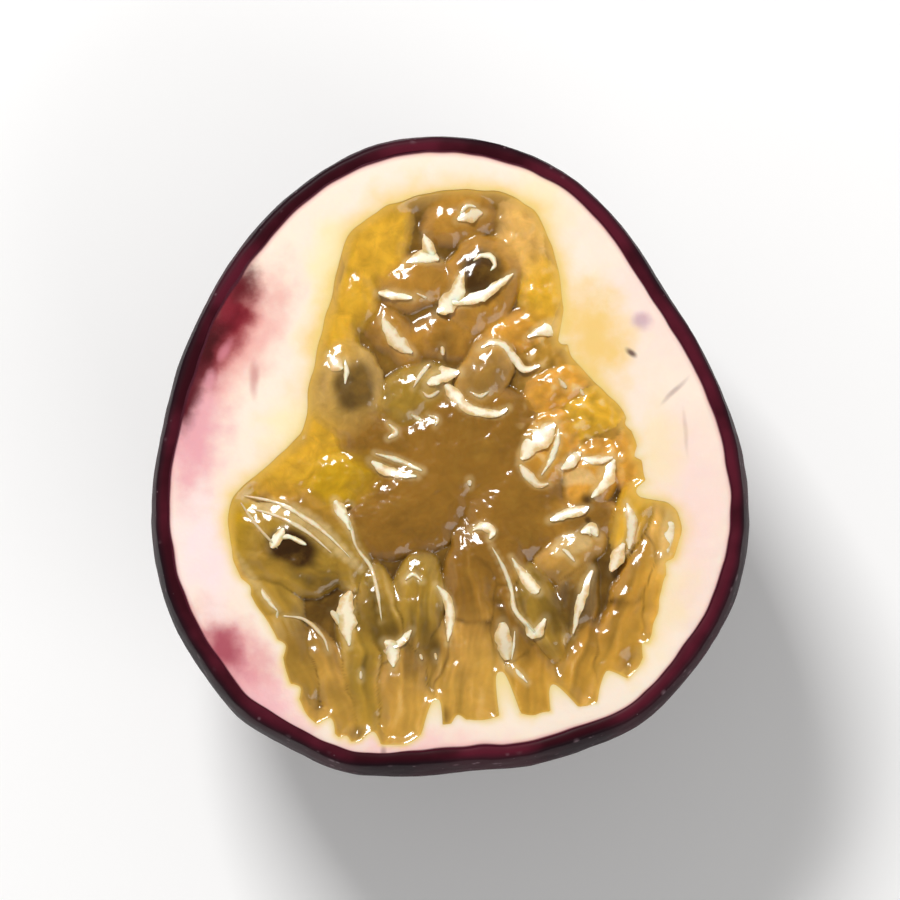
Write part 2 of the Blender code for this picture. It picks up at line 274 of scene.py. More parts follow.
def smooth_step(low, high, value):
    t = np.clip((value - low) / (high - low), 0, 1)
    return t * t * (3 - 2 * t)


def make_piece(name, mesh, points, node=None, sharp=60):
    """Moves the mesh to these points. The piece rides on the fruit, and may stand for a CAD node."""
    mesh.name = name
    mesh.vertices.foreach_set("co", np.asarray(points, np.float32).ravel())
    mesh.shade_smooth()
    mesh.set_sharp_from_angle(angle=math.radians(sharp))
    piece = add_object(name, mesh)
    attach(piece, "root")
    if node:
        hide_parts(node)
    print(name, "has", sum(len(p.vertices) - 2 for p in mesh.polygons), "triangles")
    return piece


def add_attribute(piece, name, values):
    """Stores one number, or one colour, at each vertex for the material to read."""
    colour = np.ndim(values) == 2
    kind = "FLOAT_COLOR" if colour else "FLOAT"
    layer = piece.data.attributes.new(name, kind, "POINT")
    layer.data.foreach_set("color" if colour else "value", np.asarray(values, np.float32).ravel())


# %% [markdown]
# ## Tools for the materials
# A colour is written as the hex value that a paint program shows, and turned to the linear numbers that
# light is computed with. One function adds a node with its settings, and feeds each of its sockets a
# value, another node's output, or just the node. A pattern's scale is one over its lumps' real size.

# %% Material helpers
def linear(value):
    return value / 12.92 if value <= 0.04045 else ((value + 0.055) / 1.055) ** 2.4


def srgb(hex_value):
    channels = [int(hex_value[i:i + 2], 16) / 255 for i in (1, 3, 5)]
    return (*(linear(c) for c in channels), 1.0)


def start_material(name):
    look = bpy.data.materials.new(name)
    look.use_nodes = True
    return look, look.node_tree, look.node_tree.nodes["Principled BSDF"]


def feed(tree, node, inputs):
    """Gives each socket its value, or links it to an output, or to the first output of a node."""
    for socket, value in inputs.items():
        if isinstance(value, bpy.types.Node):
            value = next(output for output in value.outputs if output.enabled)
        if isinstance(value, bpy.types.NodeSocket):
            tree.links.new(value, node.inputs[socket])
        else:
            node.inputs[socket].default_value = value


def add_node(tree, kind, settings, inputs):
    added = tree.nodes.new("ShaderNode" + kind)
    for name, value in settings.items():
        setattr(added, name, value)
    feed(tree, added, inputs)
    return added


def dress(piece, look):
    piece.data.materials.append(look)
    print(piece.name, "wears", look.name + ",", len(look.node_tree.nodes), "nodes")


RGBA, MIX_A, MIX_B = {"data_type": "RGBA"}, 6, 7  # a Mix node for colours, and the numbers of its sockets
SOFT = {"interpolation_type": "SMOOTHSTEP"}  # a Map Range node that eases in and out
MULTIPLY_ADD = {"operation": "MULTIPLY_ADD"}
print("mid grey, #808080, is", round(srgb("#808080")[0], 3), "in linear light")

# %% [markdown]
# ## Peel
# The peel is a millimetre of tough, waxed skin. Ripe skin loses water and puckers, so its outside has
# slow swells with fine dimples on them. Both could be bump in the material, but the swells show in the
# outline, so they are modelled, and only the pores are left to bump.

# %% Peel mesh
PEEL_SIDES = 512
PEEL_BANDS = (110, 4, 14)  # outside, rim, inside
SWELL, SWELL_SIZE = 0.16 * MM, 7.0 * MM
PUCKER, PUCKER_SIZE = 0.07 * MM, 2.3 * MM
DIMPLE, DIMPLE_SIZE = 0.03 * MM, 1.1 * MM
RIM_WOBBLE, RIM_WOBBLE_SIZE = 0.16 * MM, 2.5 * MM
RIM_ROUNDING = 0.10 * MM


def peel_inner_inset(points):
    """How far in from the skin the peel's inner edge lies. A knife leaves it a little uneven."""
    return PEEL_WALL + RIM_WOBBLE * waviness(points, RIM_WOBBLE_SIZE)


def make_peel():
    outside, rim, inside = PEEL_BANDS
    mesh, angle, ring = sphere_rings(PEEL_SIDES, sum(PEEL_BANDS))
    down = np.where(ring <= outside, 1 - ring / outside, np.maximum(0, ring - outside - rim) / inside)
    across = np.clip((ring - outside) / rim, 0, 1)
    skin = skin_point(angle, np.where(ring <= outside, down, 0), 0)
    wall = peel_inner_inset(skin * (1, 1, 0))
    points = skin_point(angle, down, wall * across)
    centre = np.array([0, 0, CUT - GIRTH_BELOW_CUT])
    outwards = points - centre
    outwards /= np.linalg.norm(outwards, axis=1)[:, None]
    relief = SWELL * waviness(points, SWELL_SIZE)
    relief += PUCKER * waviness(points, PUCKER_SIZE, 10)
    relief += DIMPLE * waviness(points, DIMPLE_SIZE, 20)
    points += outwards * (relief * (1 - across))[:, None]
    edge = np.abs(2 * across - 1) ** 4 * (across > 0)  # 1 at the rim's inner edge, and less on the rim
    on_rim = (ring >= outside) & (ring <= outside + rim)
    points[:, 2] = np.where(on_rim, CUT - RIM_ROUNDING * np.where(ring == outside, 1, edge), points[:, 2])
    points[:, 2] = np.clip(points[:, 2], 0, CUT)
    piece = make_piece("peel_skin", mesh, points, "peel")
    add_attribute(piece, "cut", smooth_step(0, 0.5, across) * (ring <= outside + rim))
    return piece


peel = make_peel()

# %% [markdown]
# The skin of a ripe purple fruit is aubergine to black-brown, with a thin wax bloom that spreads the light,
# and it is peppered with fine pale specks. Where the knife went through, the colour is a wetter maroon.
# The wax is a coat with a soft roughness over a darker, duller skin.

# %% Peel material
SPECK_SPACING = 1.0 * MM
SPECK_SMALLEST, SPECK_GROWTH = 0.07, 0.60  # shares of the spacing
PATCH_SIZE = 9.0 * MM
PORE_SIZE = 0.35 * MM  # real pores are half that, but would not show


def peel_material():
    """Waxed passion fruit skin: dark and leathery, with a broad soft gleam from the wax."""
    look, tree, shader = start_material("waxed purple fruit skin")
    place = add_node(tree, "TexCoord", {}, {}).outputs["Object"]
    patch = add_node(tree, "TexNoise", {}, {"Vector": place, "Scale": 1 / PATCH_SIZE, "Detail": 4.0})
    patchy = add_node(tree, "MapRange", SOFT, {"Value": patch, "From Min": 0.38, "From Max": 0.62})
    skin = add_node(tree, "Mix", RGBA, {0: patchy, MIX_A: srgb("#1F0E15"), MIX_B: srgb("#381821")})
    cell = add_node(tree, "TexVoronoi", {}, {"Vector": place, "Scale": 1 / SPECK_SPACING})
    size = add_node(tree, "Math", {"operation": "POWER"}, {0: cell.outputs["Color"], 1: 3.0})
    reach = add_node(tree, "Math", MULTIPLY_ADD, {0: size, 1: SPECK_GROWTH, 2: SPECK_SMALLEST})
    speck = add_node(tree, "MapRange", SOFT,
                     {"Value": cell, "From Min": reach, "From Max": 0.03, "To Max": 0.34})
    specked = add_node(tree, "Mix", RGBA, {0: speck, MIX_A: skin, MIX_B: srgb("#A58A92")})
    cut = add_node(tree, "Attribute", {"attribute_name": "cut"}, {}).outputs["Fac"]
    flesh = add_node(tree, "Mix", RGBA, {0: patchy, MIX_A: srgb("#330D15"), MIX_B: srgb("#561A28")})
    colour = add_node(tree, "Mix", RGBA, {0: cut, MIX_A: specked, MIX_B: flesh})
    pore = add_node(tree, "TexNoise", {}, {"Vector": place, "Scale": 1 / PORE_SIZE, "Detail": 2.0})
    bump = add_node(tree, "Bump", {}, {"Height": pore, "Strength": 0.35, "Distance": 0.05 * MM})
    gleam = add_node(tree, "MapRange", {}, {"Value": patch, "To Min": 0.38, "To Max": 0.55})
    feed(tree, shader, {"Base Color": colour, "Roughness": gleam, "Normal": bump,
                        "Specular IOR Level": 0.02, "Coat Weight": 0.06, "Coat Roughness": 0.3})
    return look


dress(peel, peel_material())

# %% [markdown]
# ## Pith
# Pith is a sponge full of air and sap, which is why it looks soft and nearly white. The knife leaves its
# face almost flat, with slow swells, and a little sunk at the skin where it dries first. Near the cavity
# it is level, so that the juice meets it in a clean line. The face has its own rings. They are closest at
# the cavity and only the last of them bend in round the stumps, which keeps the rest of the face even.

# %% Pith mesh
LIP_SIDES = 720  # of the pith and of the pulp, so that they meet vertex by vertex
PITH_BANDS = (12, 26, 14)  # outside, cut face, cavity wall
RING_CROWDING = 0.8  # under 1 brings the face's rings closer together towards the cavity
PITH_LAP = 0.05 * MM  # how far the pith reaches into the peel
FACE_SWELL, FACE_SWELL_SIZE = 0.10 * MM, 4.0 * MM
FACE_GRAIN, FACE_GRAIN_SIZE = 0.035 * MM, 1.0 * MM
SKIN_SINK, SKIN_SINK_WIDTH = 0.14 * MM, 0.7 * MM
LIP_EASE = 2.4 * MM  # nearer the lip than this the face gets level, so that the pulp meets it evenly
STUMP_CROWDING = 10  # how closely the rings that bend round the stumps keep to them
SOAK_AT_NECK, SOAK_AT_FOOT = 1.3 * MM, 0.45 * MM  # how far juice has soaked into the pith
NECK_ABOVE, FOOT_BELOW = -2 * MM, -16 * MM  # on y


def make_pith():
    outside, face, inside = PITH_BANDS
    mesh, angle, ring = sphere_rings(LIP_SIDES, sum(PITH_BANDS))
    angle = even_turn(angle)
    rim_edge = skin_point(angle, 0, 0) * (1, 1, 0)
    wall = peel_inner_inset(rim_edge) - PITH_LAP
    outer = skin_point(angle, np.clip(1 - ring / outside, 0, 1), wall)
    inner = cavity_point(angle, np.clip((ring - outside - face) / inside, 0, 1), 0)
    across = np.clip((ring - outside) / face, 0, 1)
    across = across**RING_CROWDING
    points = outer * (1 - across)[:, None] + inner * across[:, None]
    to_lip = (inner - CAVITY_CENTRE) * (1, 1, 0)
    lip_radius = np.linalg.norm(to_lip, axis=1)
    stump = stalk_height(np.degrees(angle) % 360, 0)
    points += to_lip * (stump * (across - across**STUMP_CROWDING) / lip_radius)[:, None]
    from_skin = np.linalg.norm((points - outer)[:, :2], axis=1)
    from_lip = distance_to(cavity_point(fine_turn, 0, 0), points)
    on_face = (ring >= outside) & (ring <= outside + face)
    relief = FACE_SWELL * waviness(points, FACE_SWELL_SIZE, 5)
    relief += FACE_GRAIN * waviness(points, FACE_GRAIN_SIZE, 15)
    relief *= smooth_step(0, LIP_EASE, from_lip)
    relief -= SKIN_SINK * np.exp(-from_skin / SKIN_SINK_WIDTH)
    from_centre = np.linalg.norm((points - CAVITY_CENTRE)[:, :2], axis=1)
    on_stump = np.clip(lip_radius + stump - from_centre, 0, None)
    points[:, 2] += relief * on_face
    piece = make_piece("pith_flesh", mesh, points, "pith")
    add_attribute(piece, "from_skin", np.where(on_face, from_skin, 0) / MM)
    add_attribute(piece, "on_stump", on_stump * on_face / MM)
    soak = SOAK_AT_FOOT + (SOAK_AT_NECK - SOAK_AT_FOOT) * smooth_step(FOOT_BELOW, NECK_ABOVE, points[:, 1])
    add_attribute(piece, "soaked", np.exp(-from_lip / soak) * on_face)
    return piece


pith = make_pith()

# %% [markdown]
# The purple of the peel bleeds into the pith: a thin red line follows the skin all round, and two larger
# blushes spread in from it on the left. Juice has soaked in at the cavity's lip, which is yellow there.
# The blushes are soft spots, placed and stretched with Mapping nodes, whose edges a noise frays.

# %% Pith material
# Spots: middle on the cut face, half-sizes across and along, turn in degrees, colour, strength
PITH_SPOTS = [
    ((-18.4, 9.8), (4.6, 10.0), -30, "#E9A49E", 0.85),
    ((-22.2, 1.6), (4.4, 9.0), -4, "#E7A6AE", 0.95),
    ((-18.6, 11.6), (2.6, 5.0), -25, "#982634", 1.0),
    ((-20.8, 8.2), (2.8, 6.0), -32, "#A63444", 0.9),
    ((-20.8, 9.8), (2.7, 10.0), -31, "#46080E", 1.0),
    ((-22.8, 4.6), (1.8, 5.5), -16, "#5C1420", 1.0),
    ((-19.2, 12.8), (1.8, 3.2), -32, "#84202E", 0.9),
    ((-18.2, 14.2), (1.1, 1.9), -30, "#620F1A", 0.9),
    # the next two pale flecks are painted highlights on the wet cut face
    ((-19.5, 8.7), (0.6, 1.5), -30, "#E0909C", 0.6),
    ((-20.9, 6.1), (0.7, 1.4), -10, "#E8A4AE", 0.6),
    ((-17.0, 6.2), (0.6, 2.2), 0, "#C47C7A", 0.6),
    ((-21.2, -9.0), (3.8, 8.5), 8, "#F9DEDF", 0.8),
    ((-18.6, -18.0), (4.0, 6.6), 38, "#DE8E96", 0.9),
    ((-19.4, -17.2), (2.2, 3.4), 30, "#A03A4E", 0.8),
    ((-15.4, -22.4), (3.2, 5.8), 55, "#EFB4BA", 0.8),
    ((-2.0, -27.0), (16.0, 3.8), 0, "#F7C6C2", 0.85),
    ((21.2, -6.0), (5.0, 16.0), 0, "#F7D8CF", 0.8),
    ((18.0, 12.0), (3.8, 9.0), 35, "#FADCD2", 0.7),
    ((12.4, 9.6), (4.8, 7.4), 12, "#EFC870", 0.9),
    ((16.6, 11.3), (1.4, 1.3), 0, "#B08AA4", 0.6),
    ((15.7, 8.5), (0.9, 0.4), -42, "#5E4440", 0.9),
    ((19.4, 5.1), (0.35, 2.2), -45, "#A8928C", 0.6),
    ((20.4, 1.6), (0.3, 2.6), 4, "#C2ACA2", 0.5),
    ((-5.7, -26.3), (0.4, 1.2), 5, "#9A7870", 0.6),
    ((-4.6, -26.9), (0.4, 0.9), 12, "#A87078", 0.6),
    ((-10.4, 16.0), (3.0, 6.5), -8, "#F8E6B4", 0.8),
    ((-14.0, 2.0), (3.5, 3.5), 0, "#F8E6AE", 0.6),
    ((8.0, 21.5), (3.5, 4.5), 40, "#F8E4B0", 0.6),
    ((18.5, 0.0), (2.6, 6.0), 0, "#F6DFB0", 0.6),
    ((18.5, -14.0), (3.0, 7.0), -25, "#F6DFAE", 0.6),
]
FRAY, FRAY_SIZE = 0.9, 2.2 * MM
CLOUDING_SIZE = 6 * MM
SPONGE_SIZE = 0.28 * MM


def pith_material():
    """Moist spongy pith: matt cream that light sinks into, with a faint wet gleam."""
    look, tree, shader = start_material("moist passion fruit pith")
    place = add_node(tree, "TexCoord", {}, {}).outputs["Object"]
    soft = add_node(tree, "TexNoise", {}, {"Vector": place, "Scale": 1 / CLOUDING_SIZE, "Detail": 3.0})
    colour = add_node(tree, "Mix", RGBA, {0: soft, MIX_A: srgb("#F6E0CE"), MIX_B: srgb("#FAEAD8")})
    fray = add_node(tree, "TexNoise", {}, {"Vector": place, "Scale": 1 / FRAY_SIZE, "Detail": 5.0})
    centred = add_node(tree, "VectorMath", {"operation": "SUBTRACT"},
                       {0: fray.outputs["Color"], 1: (0.5, 0.5, 0.5)})
    from_skin = add_node(tree, "Attribute", {"attribute_name": "from_skin"}, {}).outputs["Fac"]
    bleed = add_node(tree, "MapRange", SOFT,
                     {"Value": from_skin, "From Min": 0.8, "From Max": 0.0, "To Max": 0.85})
    colour = add_node(tree, "Mix", RGBA, {0: bleed, MIX_A: colour, MIX_B: srgb("#D0707C")})
    for (x, y), (wide, long), turn, tint, strength in PITH_SPOTS:
        spot = add_node(tree, "Mapping", {"vector_type": "TEXTURE"},
                        {"Vector": place, "Location": (x * MM, y * MM, CUT),
                         "Rotation": (0, 0, math.radians(turn)), "Scale": (wide * MM, long * MM, 1)})
        frayed = add_node(tree, "VectorMath", MULTIPLY_ADD, {0: centred, 1: (FRAY, FRAY, 0), 2: spot})
        ball = add_node(tree, "TexGradient", {"gradient_type": "SPHERICAL"}, {"Vector": frayed})
        faded = add_node(tree, "MapRange", SOFT,
                         {"Value": ball.outputs["Fac"], "From Max": 0.85, "To Max": strength})
        colour = add_node(tree, "Mix", RGBA, {0: faded, MIX_A: colour, MIX_B: srgb(tint)})
    soaked = add_node(tree, "Attribute", {"attribute_name": "soaked"}, {}).outputs["Fac"]
    patchy = add_node(tree, "Math", MULTIPLY_ADD, {0: soft, 1: 1.2, 2: soaked})
    ragged = add_node(tree, "Math", MULTIPLY_ADD, {0: fray, 1: 0.7, 2: patchy})
    stain = add_node(tree, "MapRange", SOFT,
                     {"Value": ragged, "From Min": 1.1, "From Max": 2.1, "To Max": 0.9})
    colour = add_node(tree, "Mix", RGBA, {0: stain, MIX_A: colour, MIX_B: srgb("#F0CB74")})
    on_stump = add_node(tree, "Attribute", {"attribute_name": "on_stump"}, {}).outputs["Fac"]
    wet = add_node(tree, "MapRange", SOFT, {"Value": on_stump, "From Max": 3.5, "To Max": 0.85})
    colour = add_node(tree, "Mix", RGBA, {0: wet, MIX_A: colour, MIX_B: srgb("#F3D795")})
    edge = add_node(tree, "MapRange", SOFT, {"Value": from_skin, "From Min": 0.42, "From Max": 0.2})
    colour = add_node(tree, "Mix", RGBA, {0: edge, MIX_A: colour, MIX_B: srgb("#4A1222")})
    sponge = add_node(tree, "TexNoise", {}, {"Vector": place, "Scale": 1 / SPONGE_SIZE, "Detail": 3.0})
    bump = add_node(tree, "Bump", {}, {"Height": sponge, "Strength": 0.3, "Distance": 0.06 * MM})
    feed(tree, shader, {"Base Color": colour, "Normal": bump, "Roughness": 0.5, "IOR": 1.38,
                        "Specular IOR Level": 0.15, "Subsurface Weight": 0.35,
                        "Subsurface Radius": (1.0, 0.6, 0.4), "Subsurface Scale": 1.0 * MM})
    return look


dress(pith, pith_material())

# %% [markdown]
# ## Juice sacs
# Every seed of a passion fruit sits in its own bag of juice. The bags hang from the wall on short stalks,
# so along the foot they lie side by side like fingers, while in the middle they are round and pressed
# together. The knife has opened some, and their juice fills the hollows, so the whole is one wet, lumpy
# surface. It could be melted together from many solids, but seen from above it has no overhangs.
# So the height of each sac is worked out as a dome, and a soft maximum joins the domes as surface
# tension would.

# %% Where the sacs are
# Colours of the juice, as light comes through more or less of it
TINTS = {
    "gold": "#E9B233",
    "honey": "#CCA254",
    "yellow": "#D3A41C",
    "amber": "#E2A23C",
    "peach": "#EFBA62",
    "tan": "#CC9A48",
    "ochre": "#C08A34",
    "khaki": "#9C6E26",
    "olive": "#AC8630",
    "brown": "#96702F",
}
# Middle from the fruit's middle in mm, direction in degrees, length, width, crest over the cut, tint
SACS = [
    # neck, at the narrow end
    (-6.2, 18.4, 80, 8.5, 6.0, -0.2, "gold"),
    (0.7, 20.3, 8, 7.0, 4.8, -0.1, "ochre"),
    (6.2, 18.4, 105, 8.0, 4.4, -0.3, "peach"),
    (-3.0, 14.8, 12, 7.2, 5.2, 0.0, "ochre"),
    (2.7, 14.6, 70, 8.8, 6.8, 0.3, "ochre"),
    (7.7, 14.0, 95, 7.5, 3.6, -0.3, "gold"),
    (-8.0, 13.4, 85, 6.6, 4.0, -0.3, "gold"),
    (-0.8, 10.1, 5, 8.2, 4.0, -0.5, "ochre"),
    (-4.9, 10.1, 120, 6.4, 4.0, -0.3, "ochre"),
    (5.4, 10.4, 25, 7.4, 4.0, -0.3, "amber"),
    # left of the middle
    (-9.1, 5.4, 95, 8.8, 6.8, 0.3, "honey"),
    (-9.8, 10.1, 100, 6.2, 4.6, -0.3, "gold"),
    (-10.9, 1.6, 60, 6.4, 4.8, -0.35, "gold"),
    (-14.2, -1.9, 42, 7.0, 5.2, -0.1, "gold"),
    # middle, where the sacs are open and the juice stands
    (3.1, 7.0, 60, 6.6, 5.2, 0.3, "tan"),
    (-3.1, 5.1, 30, 7.8, 5.0, 0.1, "olive"),
    (1.5, 0.8, 20, 13.0, 9.5, 0.15, "khaki"),
    (5.8, -3.8, 100, 12.0, 8.5, 0.05, "khaki"),
    (-3.1, -4.6, 30, 13.0, 8.5, 0.0, "khaki"),
    (-6.2, 0.9, 150, 8.0, 5.8, 0.0, "khaki"),
    (-9.7, -2.6, 20, 8.4, 5.8, -0.2, "yellow"),
    # right of the middle
    (9.3, 5.5, 20, 6.4, 3.8, -0.25, "amber"),
    (12.3, 3.2, 32, 6.4, 3.6, -0.3, "gold"),
    (8.5, 0.1, 70, 7.2, 5.2, 0.15, "amber"),
    (12.4, -2.2, 62, 7.2, 4.6, 0.0, "amber"),
    (15.4, -0.7, 80, 6.4, 3.2, -0.3, "amber"),
    (11.2, -6.1, 10, 7.2, 4.4, -0.2, "ochre"),
    (15.8, -5.7, 72, 8.2, 3.6, -0.15, "gold"),
    (18.4, -7.7, 86, 8.8, 3.2, -0.35, "peach"),
    (10.4, -8.9, 40, 7.2, 4.2, 0.0, "tan"),
    # lobe on the left
    (-18.2, -6.5, 82, 6.6, 3.6, -0.45, "yellow"),
    (-13.7, -8.4, 165, 10.4, 8.6, 0.4, "olive"),
    (-12.4, -5.0, 158, 9.4, 3.8, -0.05, "ochre"),
    (-9.5, -8.6, 112, 8.4, 4.6, 0.0, "olive"),
    (-15.1, -12.7, 122, 7.4, 4.2, -0.2, "olive"),
    # fingers that run down to the foot
    (-13.4, -17.2, 116, 11.5, 3.6, -0.2, "brown"),
    (-10.2, -19.8, 112, 10.5, 3.2, -0.15, "tan"),
    (-7.8, -18.4, 98, 13.0, 3.8, 0.0, "olive"),
    (-4.1, -20.4, 92, 10.5, 5.0, 0.0, "tan"),
    (-6.0, -14.4, 100, 9.4, 4.4, 0.1, "olive"),
    (-2.6, -13.4, 88, 9.4, 4.8, 0.15, "olive"),
    (1.6, -19.0, 86, 12.5, 6.0, 0.05, "tan"),
    (1.9, -11.4, 95, 10.6, 5.0, 0.1, "khaki"),
    (5.2, -15.2, 108, 8.8, 4.6, 0.0, "khaki"),
    (7.0, -20.2, 92, 8.8, 5.0, -0.1, "ochre"),
    (7.8, -14.0, 114, 9.4, 4.4, 0.1, "olive"),
    (11.2, -18.6, 74, 9.8, 4.4, -0.2, "ochre"),
    (10.9, -13.0, 75, 8.8, 4.2, -0.1, "brown"),
    (14.6, -15.8, 65, 10.8, 4.0, -0.1, "ochre"),
    (15.9, -11.8, 70, 10.6, 3.2, -0.2, "ochre"),
    (18.0, -11.4, 76, 9.6, 3.0, -0.35, "amber"),
    (-1.2, -17.4, 92, 8.0, 3.4, -0.3, "brown"),
    (3.9, -8.2, 100, 8.8, 5.4, 0.1, "khaki"),
]
SAC_THICKNESS = 1.4  # in mm, from crest to side
FLOOR_LEVEL = -1.1  # of the juice between the sacs
NO_SAC = -9.0  # a level that is far below any
MELT, TINT_MELT = 4.8, 2.2  # per mm: how sharply one sac, or its tint, meets the next
SAC_FRAYS = [(0.55, 3.2 * MM, 60), (0.22, 1.3 * MM, 70)]  # how far in mm outlines wander, size, layer


def fray(x, y):
    """The same places, shifted a little by noise, so that no outline drawn at them is a clean oval."""
    flat = np.column_stack([x, y, x * 0]) * MM
    for reach, size, layer in SAC_FRAYS:
        x = x + reach * waviness(flat, size, layer)
        y = y + reach * waviness(flat, size, layer + 3)
    return x, y


def across_sacs(x, y):
    """Each place in the measures of each sac: along it, and aside of it, from -1 to 1 inside."""
    sx, sy, heading, length, width = np.array([sac[:5] for sac in SACS]).T[:, :, None]
    along, aside = turned(x - sx, y - sy, -heading)
    return along / (length / 2), aside / (width / 2)


def sac_domes(x, y):
    """Height over the cut of every sac at every place, in mm, far below where a sac doesn't reach."""
    along, aside = across_sacs(x, y)
    crest = np.array([sac[5] for sac in SACS])[:, None]
    inside = 1 - along**2 - aside**2
    return np.where(inside > 0, crest + SAC_THICKNESS * (np.sqrt(np.maximum(inside, 0)) - 1), NO_SAC)


def melted(domes):
    """One level from the domes, in mm, as surface tension would join them."""
    return np.log(np.exp(domes * MELT).sum(0) + math.exp(FLOOR_LEVEL * MELT)) / MELT


print(len(SACS), "sacs")

# %% [markdown]
# ## Seeds
# The seeds are flat ovals of about 5 mm, nearly black, with a pitted shell. Most are deep in the juice.
# Three lie high in their sacs and show as dark shapes with a soft edge. They are real meshes under the
# gel, and the gel is also tinted over them, because a clear gel alone would show them too crisply.

# %% Seeds mesh
SEED_SIZE = np.array([4.6, 3.4, 2.4]) * MM
SEED_SIDES, SEED_RINGS = 28, 18
SEED_PIT, SEED_PIT_SIZE = 0.10 * MM, 0.55 * MM
SEED_NARROWING = 0.5  # of its width, from the middle to one end
# Place in mm, heading in degrees, depth of its top under the sac's surface, how dark it looks
SEEDS = [
    (2.7, 15.2, 80, 0.3, 0.92),
    (-8.4, 5.6, 75, 0.45, 0.78),
    (-13.6, -8.6, -20, 0.35, 1.0),
    (3.0, 6.6, 20, 1.2, 0.35),
    (-6.5, -14.5, 95, 1.3, 0.4),
    (-2.8, -17.2, 80, 1.4, 0.35),
    (10.0, -13.9, 70, 0.9, 0.55),
    (12.0, -5.8, 15, 0.9, 0.5),
    (5.5, -16.2, 105, 1.5, 0.3),
    (-11.0, -12.4, 120, 1.3, 0.4),
]


def make_seeds():
    bm = bmesh.new()
    for i, (x, y, heading, depth, _) in enumerate(SEEDS):
        made = bmesh.ops.create_uvsphere(bm, u_segments=SEED_SIDES, v_segments=SEED_RINGS, radius=0.5)
        ball = np.array([v.co for v in made["verts"]])
        ball *= SEED_SIZE + SEED_PIT * waviness(ball * SEED_SIZE, SEED_PIT_SIZE, i)[:, None]
        ball[:, 1] *= 1 - SEED_NARROWING * ball[:, 0] / SEED_SIZE[0]
        ball[:, :2] = np.column_stack(turned(ball[:, 0], ball[:, 1], heading))
        top = melted(sac_domes(x, y))[0] - depth
        for v, point in zip(made["verts"], ball + (x * MM, y * MM, CUT + top * MM - SEED_SIZE[2] / 2)):
            v.co = point
    mesh = to_mesh(bm, "seeds")
    return make_piece("seeds", mesh, mesh_points(mesh))


seeds = make_seeds()

# %% [markdown]
# A seed's shell is hard and smooth, like a nut's. Its pits are nearly black, and the ridges between them a
# little browner. A cell pattern gives both, at the size of the pits in the mesh.

# %% Seed material
def seed_material():
    """Pitted seed shell: black-brown and hard, with a dull gleam where juice wets it."""
    look, tree, shader = start_material("wet passion fruit seed")
    place = add_node(tree, "TexCoord", {}, {}).outputs["Object"]
    pits = add_node(tree, "TexVoronoi", {}, {"Vector": place, "Scale": 1 / SEED_PIT_SIZE})
    colour = add_node(tree, "Mix", RGBA, {0: pits, MIX_A: srgb("#1E0F06"), MIX_B: srgb("#4A2A14")})
    feed(tree, shader, {"Base Color": colour, "Roughness": 0.35})
    return look


dress(seeds, seed_material())
